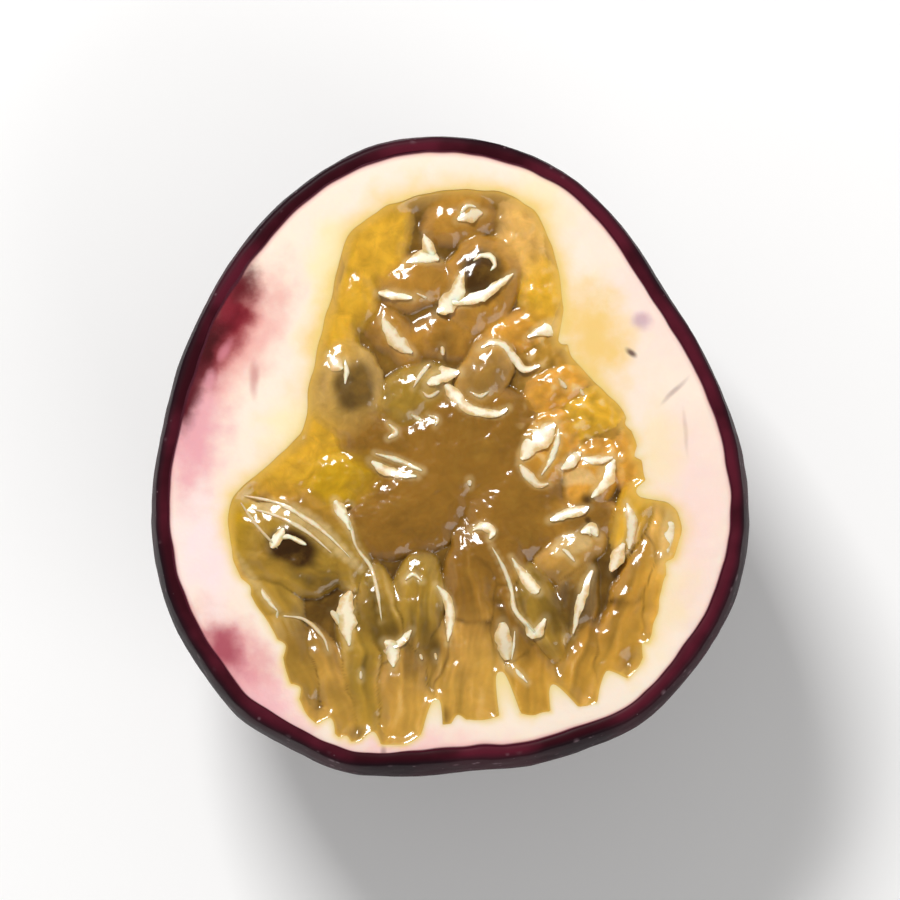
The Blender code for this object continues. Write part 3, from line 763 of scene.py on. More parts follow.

# %% [markdown]
# ## Torn skins and stalks
# The knife leaves shreds of the sacs' skins and of their stalks all over the pulp. They lie where the pulp
# glints, and their pale colour is partly their own and partly a painted highlight. Wide ones are wet facets
# on the juice, thin ones are loose threads, and the widest dim ones have no mesh and only tint the juice:
# some are milky films, some are painted reflections of the room. Round each of them the juice is painted a
# little paler, partly for pale skin and partly as a painted glow. All follow a smooth path, so that one list
# holds them. A random scatter would be shorter, but the eye knows these shapes by heart.

# %% Where the shreds are
# How dim each looks, which also sets how white a highlight is painted on it, and its path: x, y and width in
# mm
STRANDS = [
    (0.35, [(0.6, 20.1, 0.4), (1.7, 20.6, 1.1), (2.9, 20.8, 0.4)]),
    (0.2, [(0.9, 20.7, 0.25), (1.5, 21.4, 0.45), (2.3, 21.3, 0.25)]),
    (0.0, [(-3.9, 16.4, 0.19), (-2.9, 16.8, 0.66), (-1.8, 16.9, 1.01), (-0.9, 16.7, 0.46)]),
    (0.0, [(-2.3, 19.0, 0.23), (-2.0, 18.1, 0.77), (-1.5, 17.0, 0.77)]),
    (0.0, [(-6.3, 13.8, 0.39), (-4.8, 13.6, 0.7), (-3.2, 13.3, 0.39)]),
    (0.35, [(-2.9, 13.7, 0.23), (-2.0, 13.3, 0.31)]),
    (0.0, [(1.3, 15.9, 0.25), (0.9, 14.9, 0.6), (0.5, 13.6, 1.1), (-0.4, 12.6, 1.4), (-1.2, 12.1, 0.5)]),
    (0.0, [(0.0, 12.9, 0.9), (1.8, 13.3, 1.3), (3.2, 13.9, 0.95), (4.6, 14.8, 0.6), (5.6, 15.5, 0.25)]),
    (0.0, [(2.0, 16.5, 0.25), (2.7, 17.0, 0.5), (3.5, 16.9, 0.55), (3.9, 16.2, 0.45), (3.5, 15.6, 0.25)]),
    (0.2, [(-5.9, 11.7, 0.39), (-5.2, 10.3, 0.93), (-4.2, 9.2, 0.95), (-3.2, 8.5, 0.46)]),
    (0.4, [(-0.7, 9.1, 0.39), (-0.6, 8.3, 0.39)]),
    (0.15, [(6.6, 9.8, 0.23), (8.0, 10.6, 1.01), (9.5, 10.9, 1.24), (11.1, 10.5, 0.93),
           (11.8, 10.2, 0.31)]),
    (0.05, [(2.6, 8.9, 0.39), (3.6, 9.4, 0.54), (4.7, 9.1, 0.54), (5.6, 8.0, 0.62), (6.5, 7.1, 0.58),
           (8.0, 7.5, 0.31)]),
    (0.1, [(-10.5, 8.4, 0.35), (-9.9, 7.5, 0.95), (-9.3, 7.0, 0.6)]),
    (0.0, [(-9.1, 7.9, 0.25), (-9.0, 6.9, 0.55), (-9.1, 5.7, 0.25)]),
    (0.3, [(-3.2, 5.4, 0.23), (-2.4, 6.8, 0.46), (-1.7, 7.6, 0.31)]),
    (0.0, [(-2.0, 5.7, 0.62), (-0.8, 6.5, 1.16), (0.9, 6.9, 0.54)]),
    (0.0, [(-0.5, 5.9, 0.77), (0.3, 4.9, 0.93), (1.2, 3.9, 0.77), (2.4, 3.4, 0.62), (4.1, 3.2, 0.58),
           (5.1, 3.7, 0.31)]),
    (0.3, [(-0.9, 5.2, 0.39), (-1.8, 4.7, 0.39), (-2.4, 5.1, 0.23)]),
    (0.2, [(1.7, 5.1, 0.23), (2.6, 4.7, 0.39), (3.4, 5.1, 0.19)]),
    (0.35, [(-3.4, 3.1, 0.27), (-2.4, 2.6, 0.43)]),
    (0.35, [(-1.9, 3.1, 0.23), (-1.1, 2.7, 0.43), (-1.3, 2.1, 0.23)]),
    (0.15, [(-5.3, 2.3, 0.31), (-4.7, 1.6, 0.58), (-5.4, 1.0, 0.31)]),
    (0.0, [(-6.5, -0.3, 0.31), (-4.7, -0.8, 0.46), (-2.4, -1.8, 0.46)]),
    (0.0, [(-6.9, -0.9, 0.46), (-5.6, -1.7, 0.77), (-4.3, -2.1, 0.54), (-2.8, -2.3, 0.31)]),
    (0.3, [(1.7, -2.6, 0.46), (1.7, -3.1, 0.46)]),
    (0.0, [(1.9, -7.0, 0.35), (2.8, -6.6, 0.62), (3.6, -7.1, 0.62), (3.4, -7.8, 0.31)]),
    (0.1, [(6.1, -0.9, 0.45), (7.0, 0.3, 1.5), (8.0, 1.4, 1.7), (9.2, 2.4, 0.6)]),
    (0.0, [(9.4, 1.9, 0.35), (9.3, 0.7, 0.5), (8.7, -0.9, 0.45), (7.9, -2.2, 0.3)]),
    (0.2, [(6.0, -1.2, 0.35), (6.8, -2.3, 0.65), (7.7, -3.0, 0.5), (8.6, -2.9, 0.3)]),
    (0.15, [(9.6, -1.7, 0.45), (10.6, -0.8, 1.0), (11.4, -0.1, 0.4)]),
    (0.05, [(11.4, -0.7, 0.4), (12.6, -0.9, 0.62), (14.2, -0.6, 0.39)]),
    (0.0, [(14.3, -0.7, 0.4), (13.6, -1.9, 1.3), (12.9, -3.3, 0.85), (12.2, -4.2, 0.25)]),
    # the next patch is a painted reflection of the room
    (0.65, [(10.1, -2.6, 0.6), (11.3, -2.2, 1.1), (12.3, -2.6, 0.5)]),
    (0.0, [(8.6, -6.1, 0.4), (9.8, -5.6, 0.75), (11.3, -5.2, 0.7), (12.1, -4.9, 0.3)]),
    (0.0, [(11.3, -7.2, 0.4), (12.2, -6.8, 0.95), (12.8, -7.5, 0.4)]),
    # the next patch is a painted reflection of the room
    (0.6, [(9.3, -8.7, 0.8), (10.5, -8.1, 1.7), (11.7, -8.0, 0.9)]),
    (0.15, [(9.7, -8.6, 0.4), (10.2, -9.0, 0.45), (10.8, -9.7, 0.3)]),
    (0.2, [(12.4, -10.3, 0.45), (11.6, -12.0, 0.75), (11.1, -13.9, 0.6), (10.6, -16.1, 0.25)]),
    (0.2, [(15.1, -8.0, 0.45), (14.5, -9.3, 0.95), (13.9, -10.6, 0.4)]),
    (0.2, [(15.3, -4.5, 0.35), (15.7, -6.2, 0.8), (15.5, -8.7, 0.4)]),
    (0.15, [(19.4, -4.9, 0.5), (18.9, -7.0, 0.95), (18.4, -10.4, 0.4)]),
    (0.5, [(9.4, 6.3, 0.31), (10.1, 5.4, 0.46)]),
    (0.5, [(11.3, 5.4, 0.31), (11.6, 4.8, 0.39)]),
    (0.55, [(11.7, 7.1, 0.31), (12.4, 6.5, 0.39)]),
    (0.0, [(-15.5, -8.6, 0.45), (-15.1, -7.9, 0.85), (-14.6, -7.2, 0.55), (-14.4, -6.8, 0.25)]),
    (0.0, [(-14.9, -7.7, 0.55), (-13.9, -7.6, 0.5), (-12.8, -8.1, 0.4), (-12.4, -8.3, 0.2)]),
    (0.0, [(-10.0, -4.3, 0.4), (-9.6, -5.0, 0.85), (-9.1, -6.0, 0.6), (-8.6, -7.0, 0.3)]),
    (0.2, [(-9.3, -5.0, 0.35), (-8.6, -4.7, 0.3)]),
    (0.35, [(-9.1, -5.4, 0.55), (-8.6, -6.6, 0.4), (-8.1, -8.4, 0.3), (-6.9, -10.1, 0.38),
           (-6.3, -12.2, 0.4), (-5.9, -14.9, 0.23)]),
    (0.4, [(-17.4, -5.0, 0.23), (-14.6, -5.9, 0.35), (-12.2, -7.3, 0.35), (-10.2, -9.0, 0.23)]),
    (0.55, [(-18.7, -3.6, 0.5), (-16.0, -4.8, 1.1), (-13.4, -5.6, 1.4), (-11.2, -7.0, 1.3),
           (-9.2, -9.0, 0.8), (-7.8, -10.3, 0.4)]),
    (0.25, [(-18.6, -3.8, 0.3), (-15.2, -4.5, 0.4), (-12.6, -5.9, 0.45), (-10.6, -7.4, 0.35),
           (-8.6, -9.4, 0.23)]),
    (0.65, [(-18.3, -4.3, 0.23), (-16.7, -6.6, 0.27), (-14.9, -8.6, 0.23)]),
    (0.2, [(-18.9, -8.6, 0.25), (-17.3, -10.9, 0.48), (-15.8, -13.0, 0.5), (-14.9, -14.0, 0.31)]),
    (0.6, [(-14.9, -13.9, 0.31), (-15.2, -16.0, 0.31)]),
    (0.45, [(-14.5, -14.4, 0.27), (-12.6, -14.7, 0.31), (-11.0, -16.2, 0.31), (-10.5, -17.5, 0.23)]),
    (0.15, [(-8.6, -12.1, 0.39), (-9.0, -13.7, 1.32), (-8.9, -15.5, 1.04), (-8.7, -17.1, 0.31)]),
    (0.4, [(-10.3, -13.9, 0.39), (-9.4, -15.1, 0.7)]),
    (0.1, [(-3.9, -11.3, 0.35), (-3.2, -10.8, 0.43), (-2.4, -11.4, 0.23)]),
    (0.05, [(-1.2, -11.7, 0.31), (-0.4, -12.7, 0.62), (0.0, -14.4, 0.7), (-0.2, -16.8, 0.23)]),
    (0.0, [(-5.7, -16.6, 0.45), (-5.1, -17.0, 0.95), (-4.9, -18.0, 0.85), (-4.9, -18.9, 0.3)]),
    (0.0, [(-4.9, -17.1, 0.7), (-4.0, -16.4, 0.55), (-3.3, -15.6, 0.3)]),
    (0.25, [(3.6, -8.4, 0.27), (4.5, -10.0, 0.39), (5.3, -12.0, 0.39), (5.6, -13.9, 0.39),
           (6.7, -15.2, 0.5), (7.8, -16.3, 0.27)]),
    (0.0, [(5.3, -9.3, 0.23), (6.1, -10.5, 0.54), (7.4, -12.1, 0.85), (7.7, -12.4, 0.23)]),
    (0.3, [(4.5, -14.9, 0.6), (4.7, -16.6, 1.3), (5.0, -18.3, 0.8)]),
    (0.15, [(5.6, -15.7, 0.27), (5.5, -17.0, 0.31), (5.3, -18.2, 0.23)]),
    (0.1, [(6.6, -15.0, 0.31), (7.3, -15.9, 0.85), (8.3, -14.6, 0.46)]),
    (0.2, [(4.9, -18.7, 0.31), (5.7, -19.2, 0.54), (6.7, -20.2, 0.27)]),
    (0.3, [(-7.7, -19.2, 0.31), (-7.7, -19.9, 0.31)]),
    (0.4, [(-2.6, -17.7, 0.31), (-2.4, -18.2, 0.31)]),
    (0.4, [(-1.3, -17.6, 0.27), (-1.2, -18.2, 0.27)]),
]


def smooth_path(stops, steps):
    """Points along a smooth curve through the stops."""
    stops = np.array([2 * np.array(stops[0]) - stops[1], *stops, 2 * np.array(stops[-1]) - stops[-2]])
    place = np.linspace(0, len(stops) - 3, steps)
    k = np.minimum(place.astype(int), len(stops) - 4)
    t = (place - k)[:, None]
    a, b, c, d = stops[k], stops[k + 1], stops[k + 2], stops[k + 3]
    return b + 0.5 * t * (c - a + t * (2 * a - 5 * b + 4 * c - d + t * (3 * (b - c) + d - a)))


WIDE = 0.6  # mm: from here on a shred is a flat wet facet, below it is a thread
FILM_DIMNESS = 0.5  # wide shreds this dim lie under the juice, and only tint it: some are milky films, some are painted reflections of the room
DIM_STRANDS = [strand for strand in STRANDS if strand[0] >= FILM_DIMNESS]
FILMS_AND_REFLECTIONS = [strand for strand in DIM_STRANDS if max(width for _, _, width in strand[1]) >= WIDE]
SHREDS = [strand for strand in STRANDS if strand not in FILMS_AND_REFLECTIONS]
HALO_STEPS, HALO_REACH = 14, 0.45  # how far in mm the juice is paler round a shred
FILM_HALO = 1.2  # of a film or a painted reflection, where the whitest shred has 1
HALO_STRENGTH = 0.45


def pale_halo_and_glow(x, y):
    """Share of paler juice at each place in mm, up to 1, more under a film: partly pale skin, partly painted
    glow and reflections.
    """
    share = np.zeros(len(x))
    places = np.column_stack([x, y])
    for strand in STRANDS:
        path = smooth_path(strand[1], HALO_STEPS)
        reach = path[:, 2].max() / 2 + HALO_REACH
        low, high = path[:, :2].min(0) - reach, path[:, :2].max(0) + reach
        near = np.flatnonzero(((places > low) & (places < high)).all(1))
        if len(near):
            away = np.linalg.norm(places[near][:, None] - path[None, :, :2], axis=2) - path[:, 2] / 2
            strength = FILM_HALO if strand in FILMS_AND_REFLECTIONS else 1 - strand[0]
            share[near] = np.maximum(share[near], strength * smooth_step(HALO_REACH, -0.1, away.min(1)))
    return share


print(len(SHREDS), "shreds and", len(FILMS_AND_REFLECTIONS), "films")

# %% [markdown]
# ## Kinds of pulp
# The pulp isn't the same everywhere. Along the foot and the lower right it is fingers, with fine streaks
# along them. In the middle juice stands level and turbid, and on the right the sacs are broken up and
# grainy. It could be a mesh and a material for each, but then they would meet in hard lines. Instead each
# place is told how much of each kind it is, and its level and its colour are worked out from that.

# %% Kinds of pulp
# Each pair is a ramp in mm: the kind starts at the first of the two places and is full at the second
FINGERS_BELOW = (-8, -13)
FINGERS_RIGHT_OF, RIGHT_FINGERS_BELOW = (13, 15), (-3, -6)
GRAINY_RIGHT_OF, GRAINY_ABOVE, HALF_GRAINY_ABOVE = (5, 8), (-4, 1), (11, 13)
TURBID_MIDDLE, TURBID_REACH = (2, -2), (7, 6.5)  # x and y in mm
GRAIN_SIZE = 0.85 * MM
STREAKS = [(1.0, 0.9, 6.0), (0.6, 0.4, 3.0)]  # strength, width and length in mm
CLINGING_WIDTH = 1.0  # in mm, of the juice that clings to the wall
OPEN_PULP = 9.0  # mm from the wall, where none clings


def kinds_of_pulp(x, y, to_wall=OPEN_PULP):
    """What the pulp is like at places in mm: its sacs, its patterns, and how far it is of each kind."""
    at = SimpleNamespace(x=x, y=y, flat=np.column_stack([x, y, x * 0]) * MM, to_wall=to_wall + 0 * x)
    at.frayed = fray(x, y)
    at.domes = sac_domes(*at.frayed)
    along, aside = across_sacs(*at.frayed)
    half_length, half_width = np.array([sac[3:5] for sac in SACS]).T[:, :, None] / 2
    own = at.domes.argmax(0)[None]
    run = np.take_along_axis(along * half_length, own, 0)[0]
    step = np.take_along_axis(aside * half_width, own, 0)[0]
    at.streak = sum(strength * waviness(np.column_stack([run / long, step / wide, own[0] * 9.0]), 1)
                    for strength, wide, long in STREAKS)
    at.grain = waviness(at.flat, GRAIN_SIZE, 55)
    right_fingers = smooth_step(*FINGERS_RIGHT_OF, x) * smooth_step(*RIGHT_FINGERS_BELOW, y)
    at.fingers = np.maximum(smooth_step(*FINGERS_BELOW, y), right_fingers)
    at.grainy = smooth_step(*GRAINY_RIGHT_OF, x) * smooth_step(*GRAINY_ABOVE, y)
    at.grainy *= 1 - 0.5 * smooth_step(*HALF_GRAINY_ABOVE, y)
    (middle_x, middle_y), (reach_x, reach_y) = TURBID_MIDDLE, TURBID_REACH
    at.turbid = np.exp(-(((x - middle_x) / reach_x) ** 2 + ((y - middle_y) / reach_y) ** 2))
    at.clinging = np.exp(-((at.to_wall / CLINGING_WIDTH) ** 2))
    return at


middles = kinds_of_pulp(*np.array([sac[:2] for sac in SACS]).T)
for kind in ("fingers", "grainy", "turbid"):
    print(kind + ":", int((getattr(middles, kind) > 0.5).sum()), "sacs")

# %% [markdown]
# ## Level of the pulp
# Wrinkles of the sacs' skins, a fraction of a millimetre high, break each reflection into the short bright
# flecks that make the pulp look wet. So they are modelled and not only bump. At the wall the juice is
# level with the pith's lip, or a little under it, so that the two meet in a clean line.

# %% Level of the pulp
# All heights in mm over the cut
CLINGING_LEVEL = -0.03
GRAIN_LEVEL, GRAIN_HEIGHT = -0.15, 0.16
STREAK_HEIGHT, STREAKS_OUTSIDE_FINGERS = 0.05, 0.25
WRINKLES = [(0.12, 2.4 * MM, 30), (0.10, 1.1 * MM, 40), (0.05, 0.5 * MM, 45)]  # height, size, layer


def gel_level(at):
    """Level of the pulp's top at places whose kinds of pulp are known."""
    level = melted(at.domes)
    level += (GRAIN_LEVEL - level) * 0.5 * at.grainy + GRAIN_HEIGHT * at.grainy * at.grain
    level += STREAK_HEIGHT * (STREAKS_OUTSIDE_FINGERS + at.fingers) * at.streak
    level = level * (1 - at.clinging) + CLINGING_LEVEL * at.clinging
    wrinkled = sum(height * waviness(at.flat, size, layer) for height, size, layer in WRINKLES)
    return level + wrinkled * (1 - at.clinging)


crests = gel_level(middles)
print("the sacs' middles are", round(crests.min(), 1), "to", round(crests.max(), 1), "mm over the cut")

# %% [markdown]
# ## Colour of the pulp
# Sacs of unlike colour run into each other, so every place takes a mean of the tints near it, the nearest
# counting most. Over that lie four things: it is darker in creases, hollows and over seeds, paler where
# there is torn skin or grain, golden where the fingers thin out at the wall, and streaked along the sacs.

# %% Colour of the pulp
SHADOW_COLOUR, CREAM_COLOUR, GLOW_COLOUR = "#402608", "#F0D294", "#E0AE42"
# Light and dark patches: strength, size, layer, and the share of it that turbid juice hides
TONES = [(0.10, 5 * MM, 61, 0), (0.14, 1.7 * MM, 62, 0.6)]
STREAK_TONE, GRAIN_TONE, DARKEST_TONE = 0.55, 0.4, 0.25
# Painted shade in the creases: width in mm, size of the patches that break it up, strength everywhere and in
# the fingers
CREASE_WIDTH, CREASE_PATCH_SIZE, CREASE_SHARE, FINGER_CREASE_SHARE = 0.12, 1.5 * MM, 0.16, 0.6
# How much of each colour shows at most, and the ramp that it comes in over
DEEP_SHADE_SHARE, DEEP_SHADE_RAMP = 0.6, (-0.5, -1.2)  # painted shade in the low places: share of the shadow colour, and its ramp by mm over the cut
GLOW_SHARE, GLOW_RAMP = 0.4, (5, 0.5)  # of the glow, by mm from the wall
GRAIN_SHARE, GRAIN_RAMP = 0.6, (0.2, 0.5)  # of cream on grains
STREAK_SHARE, STREAK_RAMP = 0.3, (0.4, 0.9)  # of cream on streaks
DARKEST_SHARE = 0.8
SEED_SHADOW = 0.62  # half of the shadow's size in the juice, as a share of the seed's
SEED_RAMP, HOLLOW_SHADE_RAMP = (0.55, 1.05), (0.2, 1.2)
# Painted shade in hollows between the sacs: middle and radius in mm, darkness
SHADED_HOLLOWS = [
    (11.8, -4.2, 0.8, 0.9), (11.9, -6.0, 0.7, 0.9), (9.7, -14.3, 2.4, 0.6), (8.2, -11.0, 1.4, 0.3),
    (8.4, -17.3, 1.6, 0.35), (-12.9, -16.2, 2.6, 0.35), (-10.4, -13.6, 1.8, 0.2), (-5.4, -15.4, 1.4, 0.6),
    (-0.7, 9.2, 1.8, 0.4), (-0.6, -23.0, 0.9, 0.6), (-8.0, -24.2, 0.9, 0.5),
]


def seed_and_hollow_shade(x, y):
    """How much each place in mm is darkened, from 0 to 1: by a seed seen through the juice, and by shade
    painted in the hollows.
    """
    shadow = np.zeros(len(x))
    for sx, sy, heading, _, darkness in SEEDS:
        along, aside = turned(x - sx, y - sy, -heading)
        size = SEED_SIZE / MM * SEED_SHADOW
        away = np.hypot(along / size[0], aside / size[1])
        shadow = np.maximum(shadow, darkness * (1 - smooth_step(*SEED_RAMP, away)))
    # the hollows' darkness is painted shade
    for hx, hy, radius, darkness in SHADED_HOLLOWS:
        away = np.hypot(x - hx, y - hy) / radius
        shadow = np.maximum(shadow, darkness * (1 - smooth_step(*HOLLOW_SHADE_RAMP, away)))
    return shadow


def painted_crease_shade(at):
    """How much shade is painted in the crease at each place: where the two highest sacs there are equally
    high.
    """
    second, first = np.partition(at.domes, -2, axis=0)[-2:]
    crease = np.exp(-(((first - second) / CREASE_WIDTH) ** 2))
    crease *= 0.55 + 0.5 * waviness(at.flat, CREASE_PATCH_SIZE, 65)
    crease *= (1 - 0.9 * at.turbid) * (1 - 0.6 * at.grainy)
    return (CREASE_SHARE + FINGER_CREASE_SHARE * at.fingers) * crease


def gel_colour(at, level):
    """Colour of the juice, with its painted shade and glow, as linear red, green and blue, at places whose
    kinds and level are known.
    """
    tints = np.array([srgb(TINTS[sac[6]])[:3] for sac in SACS])
    pull = np.exp(at.domes * TINT_MELT) + 1e-9
    colour = (pull.T @ tints) / pull.sum(0)[:, None]
    tone = 1 + sum(strength * waviness(at.flat, size, layer) * (1 - hidden * at.turbid)
                   for strength, size, layer, hidden in TONES)
    tone += STREAK_TONE * at.streak * (0.2 + 0.8 * at.fingers) * (1 - 0.7 * at.turbid)
    tone += GRAIN_TONE * at.grain * at.grainy
    colour *= np.maximum(tone, DARKEST_TONE)[:, None]
    glow = GLOW_SHARE * at.fingers * smooth_step(*GLOW_RAMP, at.to_wall)
    pale = GRAIN_SHARE * smooth_step(*GRAIN_RAMP, at.grain) * at.grainy
    pale += STREAK_SHARE * smooth_step(*STREAK_RAMP, at.streak) * at.fingers
    # paler round the shreds: partly pale torn skin, and partly painted glow round the glints and painted
    # reflections under the dim films
    pale = np.maximum(pale, HALO_STRENGTH * pale_halo_and_glow(at.x, at.y))
    # painted shade in the creases and in the low places between the sacs
    dark = painted_crease_shade(at) + DEEP_SHADE_SHARE * smooth_step(*DEEP_SHADE_RAMP, level)
    dark = np.clip(dark, 0, DARKEST_SHARE)
    dark = np.maximum(dark * (1 - at.clinging), seed_and_hollow_shade(*at.frayed))
    for hex_value, share in ((GLOW_COLOUR, glow), (CREAM_COLOUR, pale), (SHADOW_COLOUR, dark)):
        colour += (np.array(srgb(hex_value)[:3]) - colour) * share[:, None]
    return colour


shades = gel_colour(middles, crests).mean(1)
print("the juice there gives back", round(shades.min(), 2), "to", round(shades.max(), 2), "of the light")

# %% [markdown]
# ## The pulp's mesh
# The pulp fills the cavity and wets its wall, so its mesh reaches just into the pith. Below the cut it
# follows the cavity, and only its top is dense. The colour is stored at its vertices, because it follows
# the sacs, and so is how far the wall is and how much fine mottling the place has.

# %% Pulp mesh
GEL_BANDS = (10, 124)  # down the cavity wall, over the top
WALL_SINK = 0.15 * MM
WALL_FADE_FROM, WALL_FADE_TO = -6, -16  # mm on y: down there the wall's pale rim gets narrower


def make_gel():
    wall_bands, top_bands = GEL_BANDS
    mesh, angle, ring = sphere_rings(LIP_SIDES, sum(GEL_BANDS))
    angle = even_turn(angle)
    out = 1 - np.clip((ring - wall_bands) / top_bands, 0, 1)
    wall = cavity_point(angle, np.clip(1 - ring / wall_bands, 0, 1), -WALL_SINK)
    centre = CAVITY_CENTRE + (0, 0, CUT)
    points = np.where((ring <= wall_bands)[:, None], wall, centre + (wall - centre) * out[:, None])
    to_wall = distance_to(cavity_point(fine_turn, 0, -WALL_SINK), points) / MM
    at = kinds_of_pulp(points[:, 0] / MM, points[:, 1] / MM, to_wall)
    level = gel_level(at)
    on_top = ring >= wall_bands
    points[:, 2] = np.where(on_top, CUT + level * MM, points[:, 2])
    piece = make_piece("pulp_gel", mesh, points, "pulp", sharp=75)
    # the juice colour holds painted shade in creases, low places and hollows, and painted glow round the
    # shreds
    add_attribute(piece, "juice", np.column_stack([gel_colour(at, level), np.ones(len(level))]))
    at_foot = smooth_step(WALL_FADE_FROM, WALL_FADE_TO, points[:, 1] / MM)
    add_attribute(piece, "to_wall", np.where(on_top, to_wall * (1 + 2 * at_foot), 0))
    add_attribute(piece, "texture", (1 - 0.75 * at.turbid) * (1 - 0.6 * at.fingers))
    return piece


gel = make_gel()

# %% [markdown]
# Passion fruit juice is thick and cloudy, so light goes a few millimetres into it and comes back
# coloured: more gold where it is thin over the pale wall, more olive brown where it is deep. A clear gel
# with fog inside it would do that, but it renders slowly and the export drops the fog. So most of the
# colour is on the surface, with scattering just under it and a little clearness, below a smooth wet coat.

# %% Pulp material
CLOUD_SIZE = 2.2 * MM
MOTTLE_SIZE = 1.3 * MM


def gel_material():
    """Cloudy juice gel: golden, deep and wet, with sharp reflections over a soft inner glow."""
    look, tree, shader = start_material("cloudy passion fruit juice gel with painted shade")
    place = add_node(tree, "TexCoord", {}, {}).outputs["Object"]
    juice = add_node(tree, "Attribute", {"attribute_name": "juice"}, {}).outputs["Color"]
    cloud = add_node(tree, "TexNoise", {}, {"Vector": place, "Scale": 1 / CLOUD_SIZE, "Detail": 5.0})
    cloudy = add_node(tree, "MapRange", SOFT,
                      {"Value": cloud, "From Min": 0.50, "From Max": 0.72, "To Max": 0.3})
    clouded = add_node(tree, "Mix", RGBA, {0: cloudy, MIX_A: juice, MIX_B: srgb("#AE8230")})
    mottle = add_node(tree, "TexNoise", {}, {"Vector": place, "Scale": 1 / MOTTLE_SIZE, "Detail": 6.0,
                                             "Roughness": 0.62, "Distortion": 0.7})
    tone = add_node(tree, "MapRange", {}, {"Value": mottle, "From Min": 0.3, "From Max": 0.7,
                                           "To Min": 0.82, "To Max": 1.14})
    texture = add_node(tree, "Attribute", {"attribute_name": "texture"}, {}).outputs["Fac"]
    mottled = add_node(tree, "Mix", {**RGBA, "blend_type": "MULTIPLY"},
                       {0: texture, MIX_A: clouded, MIX_B: tone})
    to_wall = add_node(tree, "Attribute", {"attribute_name": "to_wall"}, {}).outputs["Fac"]
    thin = add_node(tree, "MapRange", SOFT,
                    {"Value": to_wall, "From Min": 1.2, "From Max": 0.0, "To Max": 0.7})
    colour = add_node(tree, "Mix", RGBA, {0: thin, MIX_A: mottled, MIX_B: srgb("#F4C460")})
    bump = add_node(tree, "Bump", {}, {"Height": mottle, "Strength": 0.16, "Distance": 0.12 * MM})
    feed(tree, shader, {"Base Color": colour, "Normal": bump, "Roughness": 0.2, "IOR": 1.36,
                        "Specular IOR Level": 0.25, "Transmission Weight": 0.12,
                        "Subsurface Weight": 0.3, "Subsurface Radius": (1.0, 0.55, 0.2),
                        "Subsurface Scale": 0.5 * MM, "Coat Weight": 0.8, "Coat Roughness": 0.04})
    return look


dress(gel, gel_material())

# %% [markdown]
# ## Strands on the pulp
# Now the shreds are made: the pale stalks and torn skins that lie on the pulp, whose white is partly a
# painted highlight. A swept curve would do for the thin ones, which are round threads, but the wide ones are
# flat and ragged. So each is a thin sphere, drawn out along its path with one ring of it for each step. Wide
# ones become facets that lean towards the key lamp, because on real pulp it is such a wet facet that flashes
# white.

# %% Strands
STRAND_SIDES, STRAND_STEPS = 8, 36
STRAND_FRAYS = [(0.35, 1.2 * MM, 80), (0.22, 0.45 * MM, 83)]  # share of its width, size, layer
STRAND_TAPER = 0.3  # small, so that it is blunt at its ends
THREAD_THICKNESS, THREAD_LIFT = 0.24, 0.02  # in mm, its middle over the pulp
SPANS_BELOW = -0.5  # mm over the cut: a strand goes straight over what is deeper
# A facet's width over that of its path, and in mm its lift over the pulp and its height over and under that
FACET_FULLNESS, FACET_LIFT, FACET_TOP, FACET_ROOT = 1.3, 0.05, 0.07, 0.5
FACET_CROWN = 1.4  # over 1, so that its top is a flat with steep sides
LEVELLING = 9  # steps along a facet over which its level is averaged
# Facets fall towards the key lamp by half the angle between it and the camera, and so mirror it
GLINT_SLOPE, GLINT_WAY = 0.333, np.array([-0.54, 0.84])


def strand_spheres(count):
    """Thin spheres as one mesh, and for each vertex its sphere, its step along it, its side and height."""
    tube, angle, ring = sphere_rings(STRAND_SIDES, STRAND_STEPS - 1)
    bm = bmesh.new()
    for _ in range(count):
        bm.from_mesh(tube)
    sphere = np.repeat(np.arange(count), len(angle))
    step, across, high = (np.tile(value, count) for value in (ring.astype(int), np.cos(angle), np.sin(angle)))
    return to_mesh(bm, "strands"), sphere, step, across, high


def strand_level(under, strand, step):
    """The pulp's level under each strand, averaged across each step and then along it."""
    own, count = np.zeros((2, len(SHREDS), STRAND_STEPS))
    np.add.at(own, (strand, step), under)
    np.add.at(count, (strand, step), 1)
    even = np.full(LEVELLING, 1 / LEVELLING)
    own = [np.convolve(np.pad(level, LEVELLING // 2, "edge"), even, "valid") for level in own / count]
    return np.array(own)[strand, step]


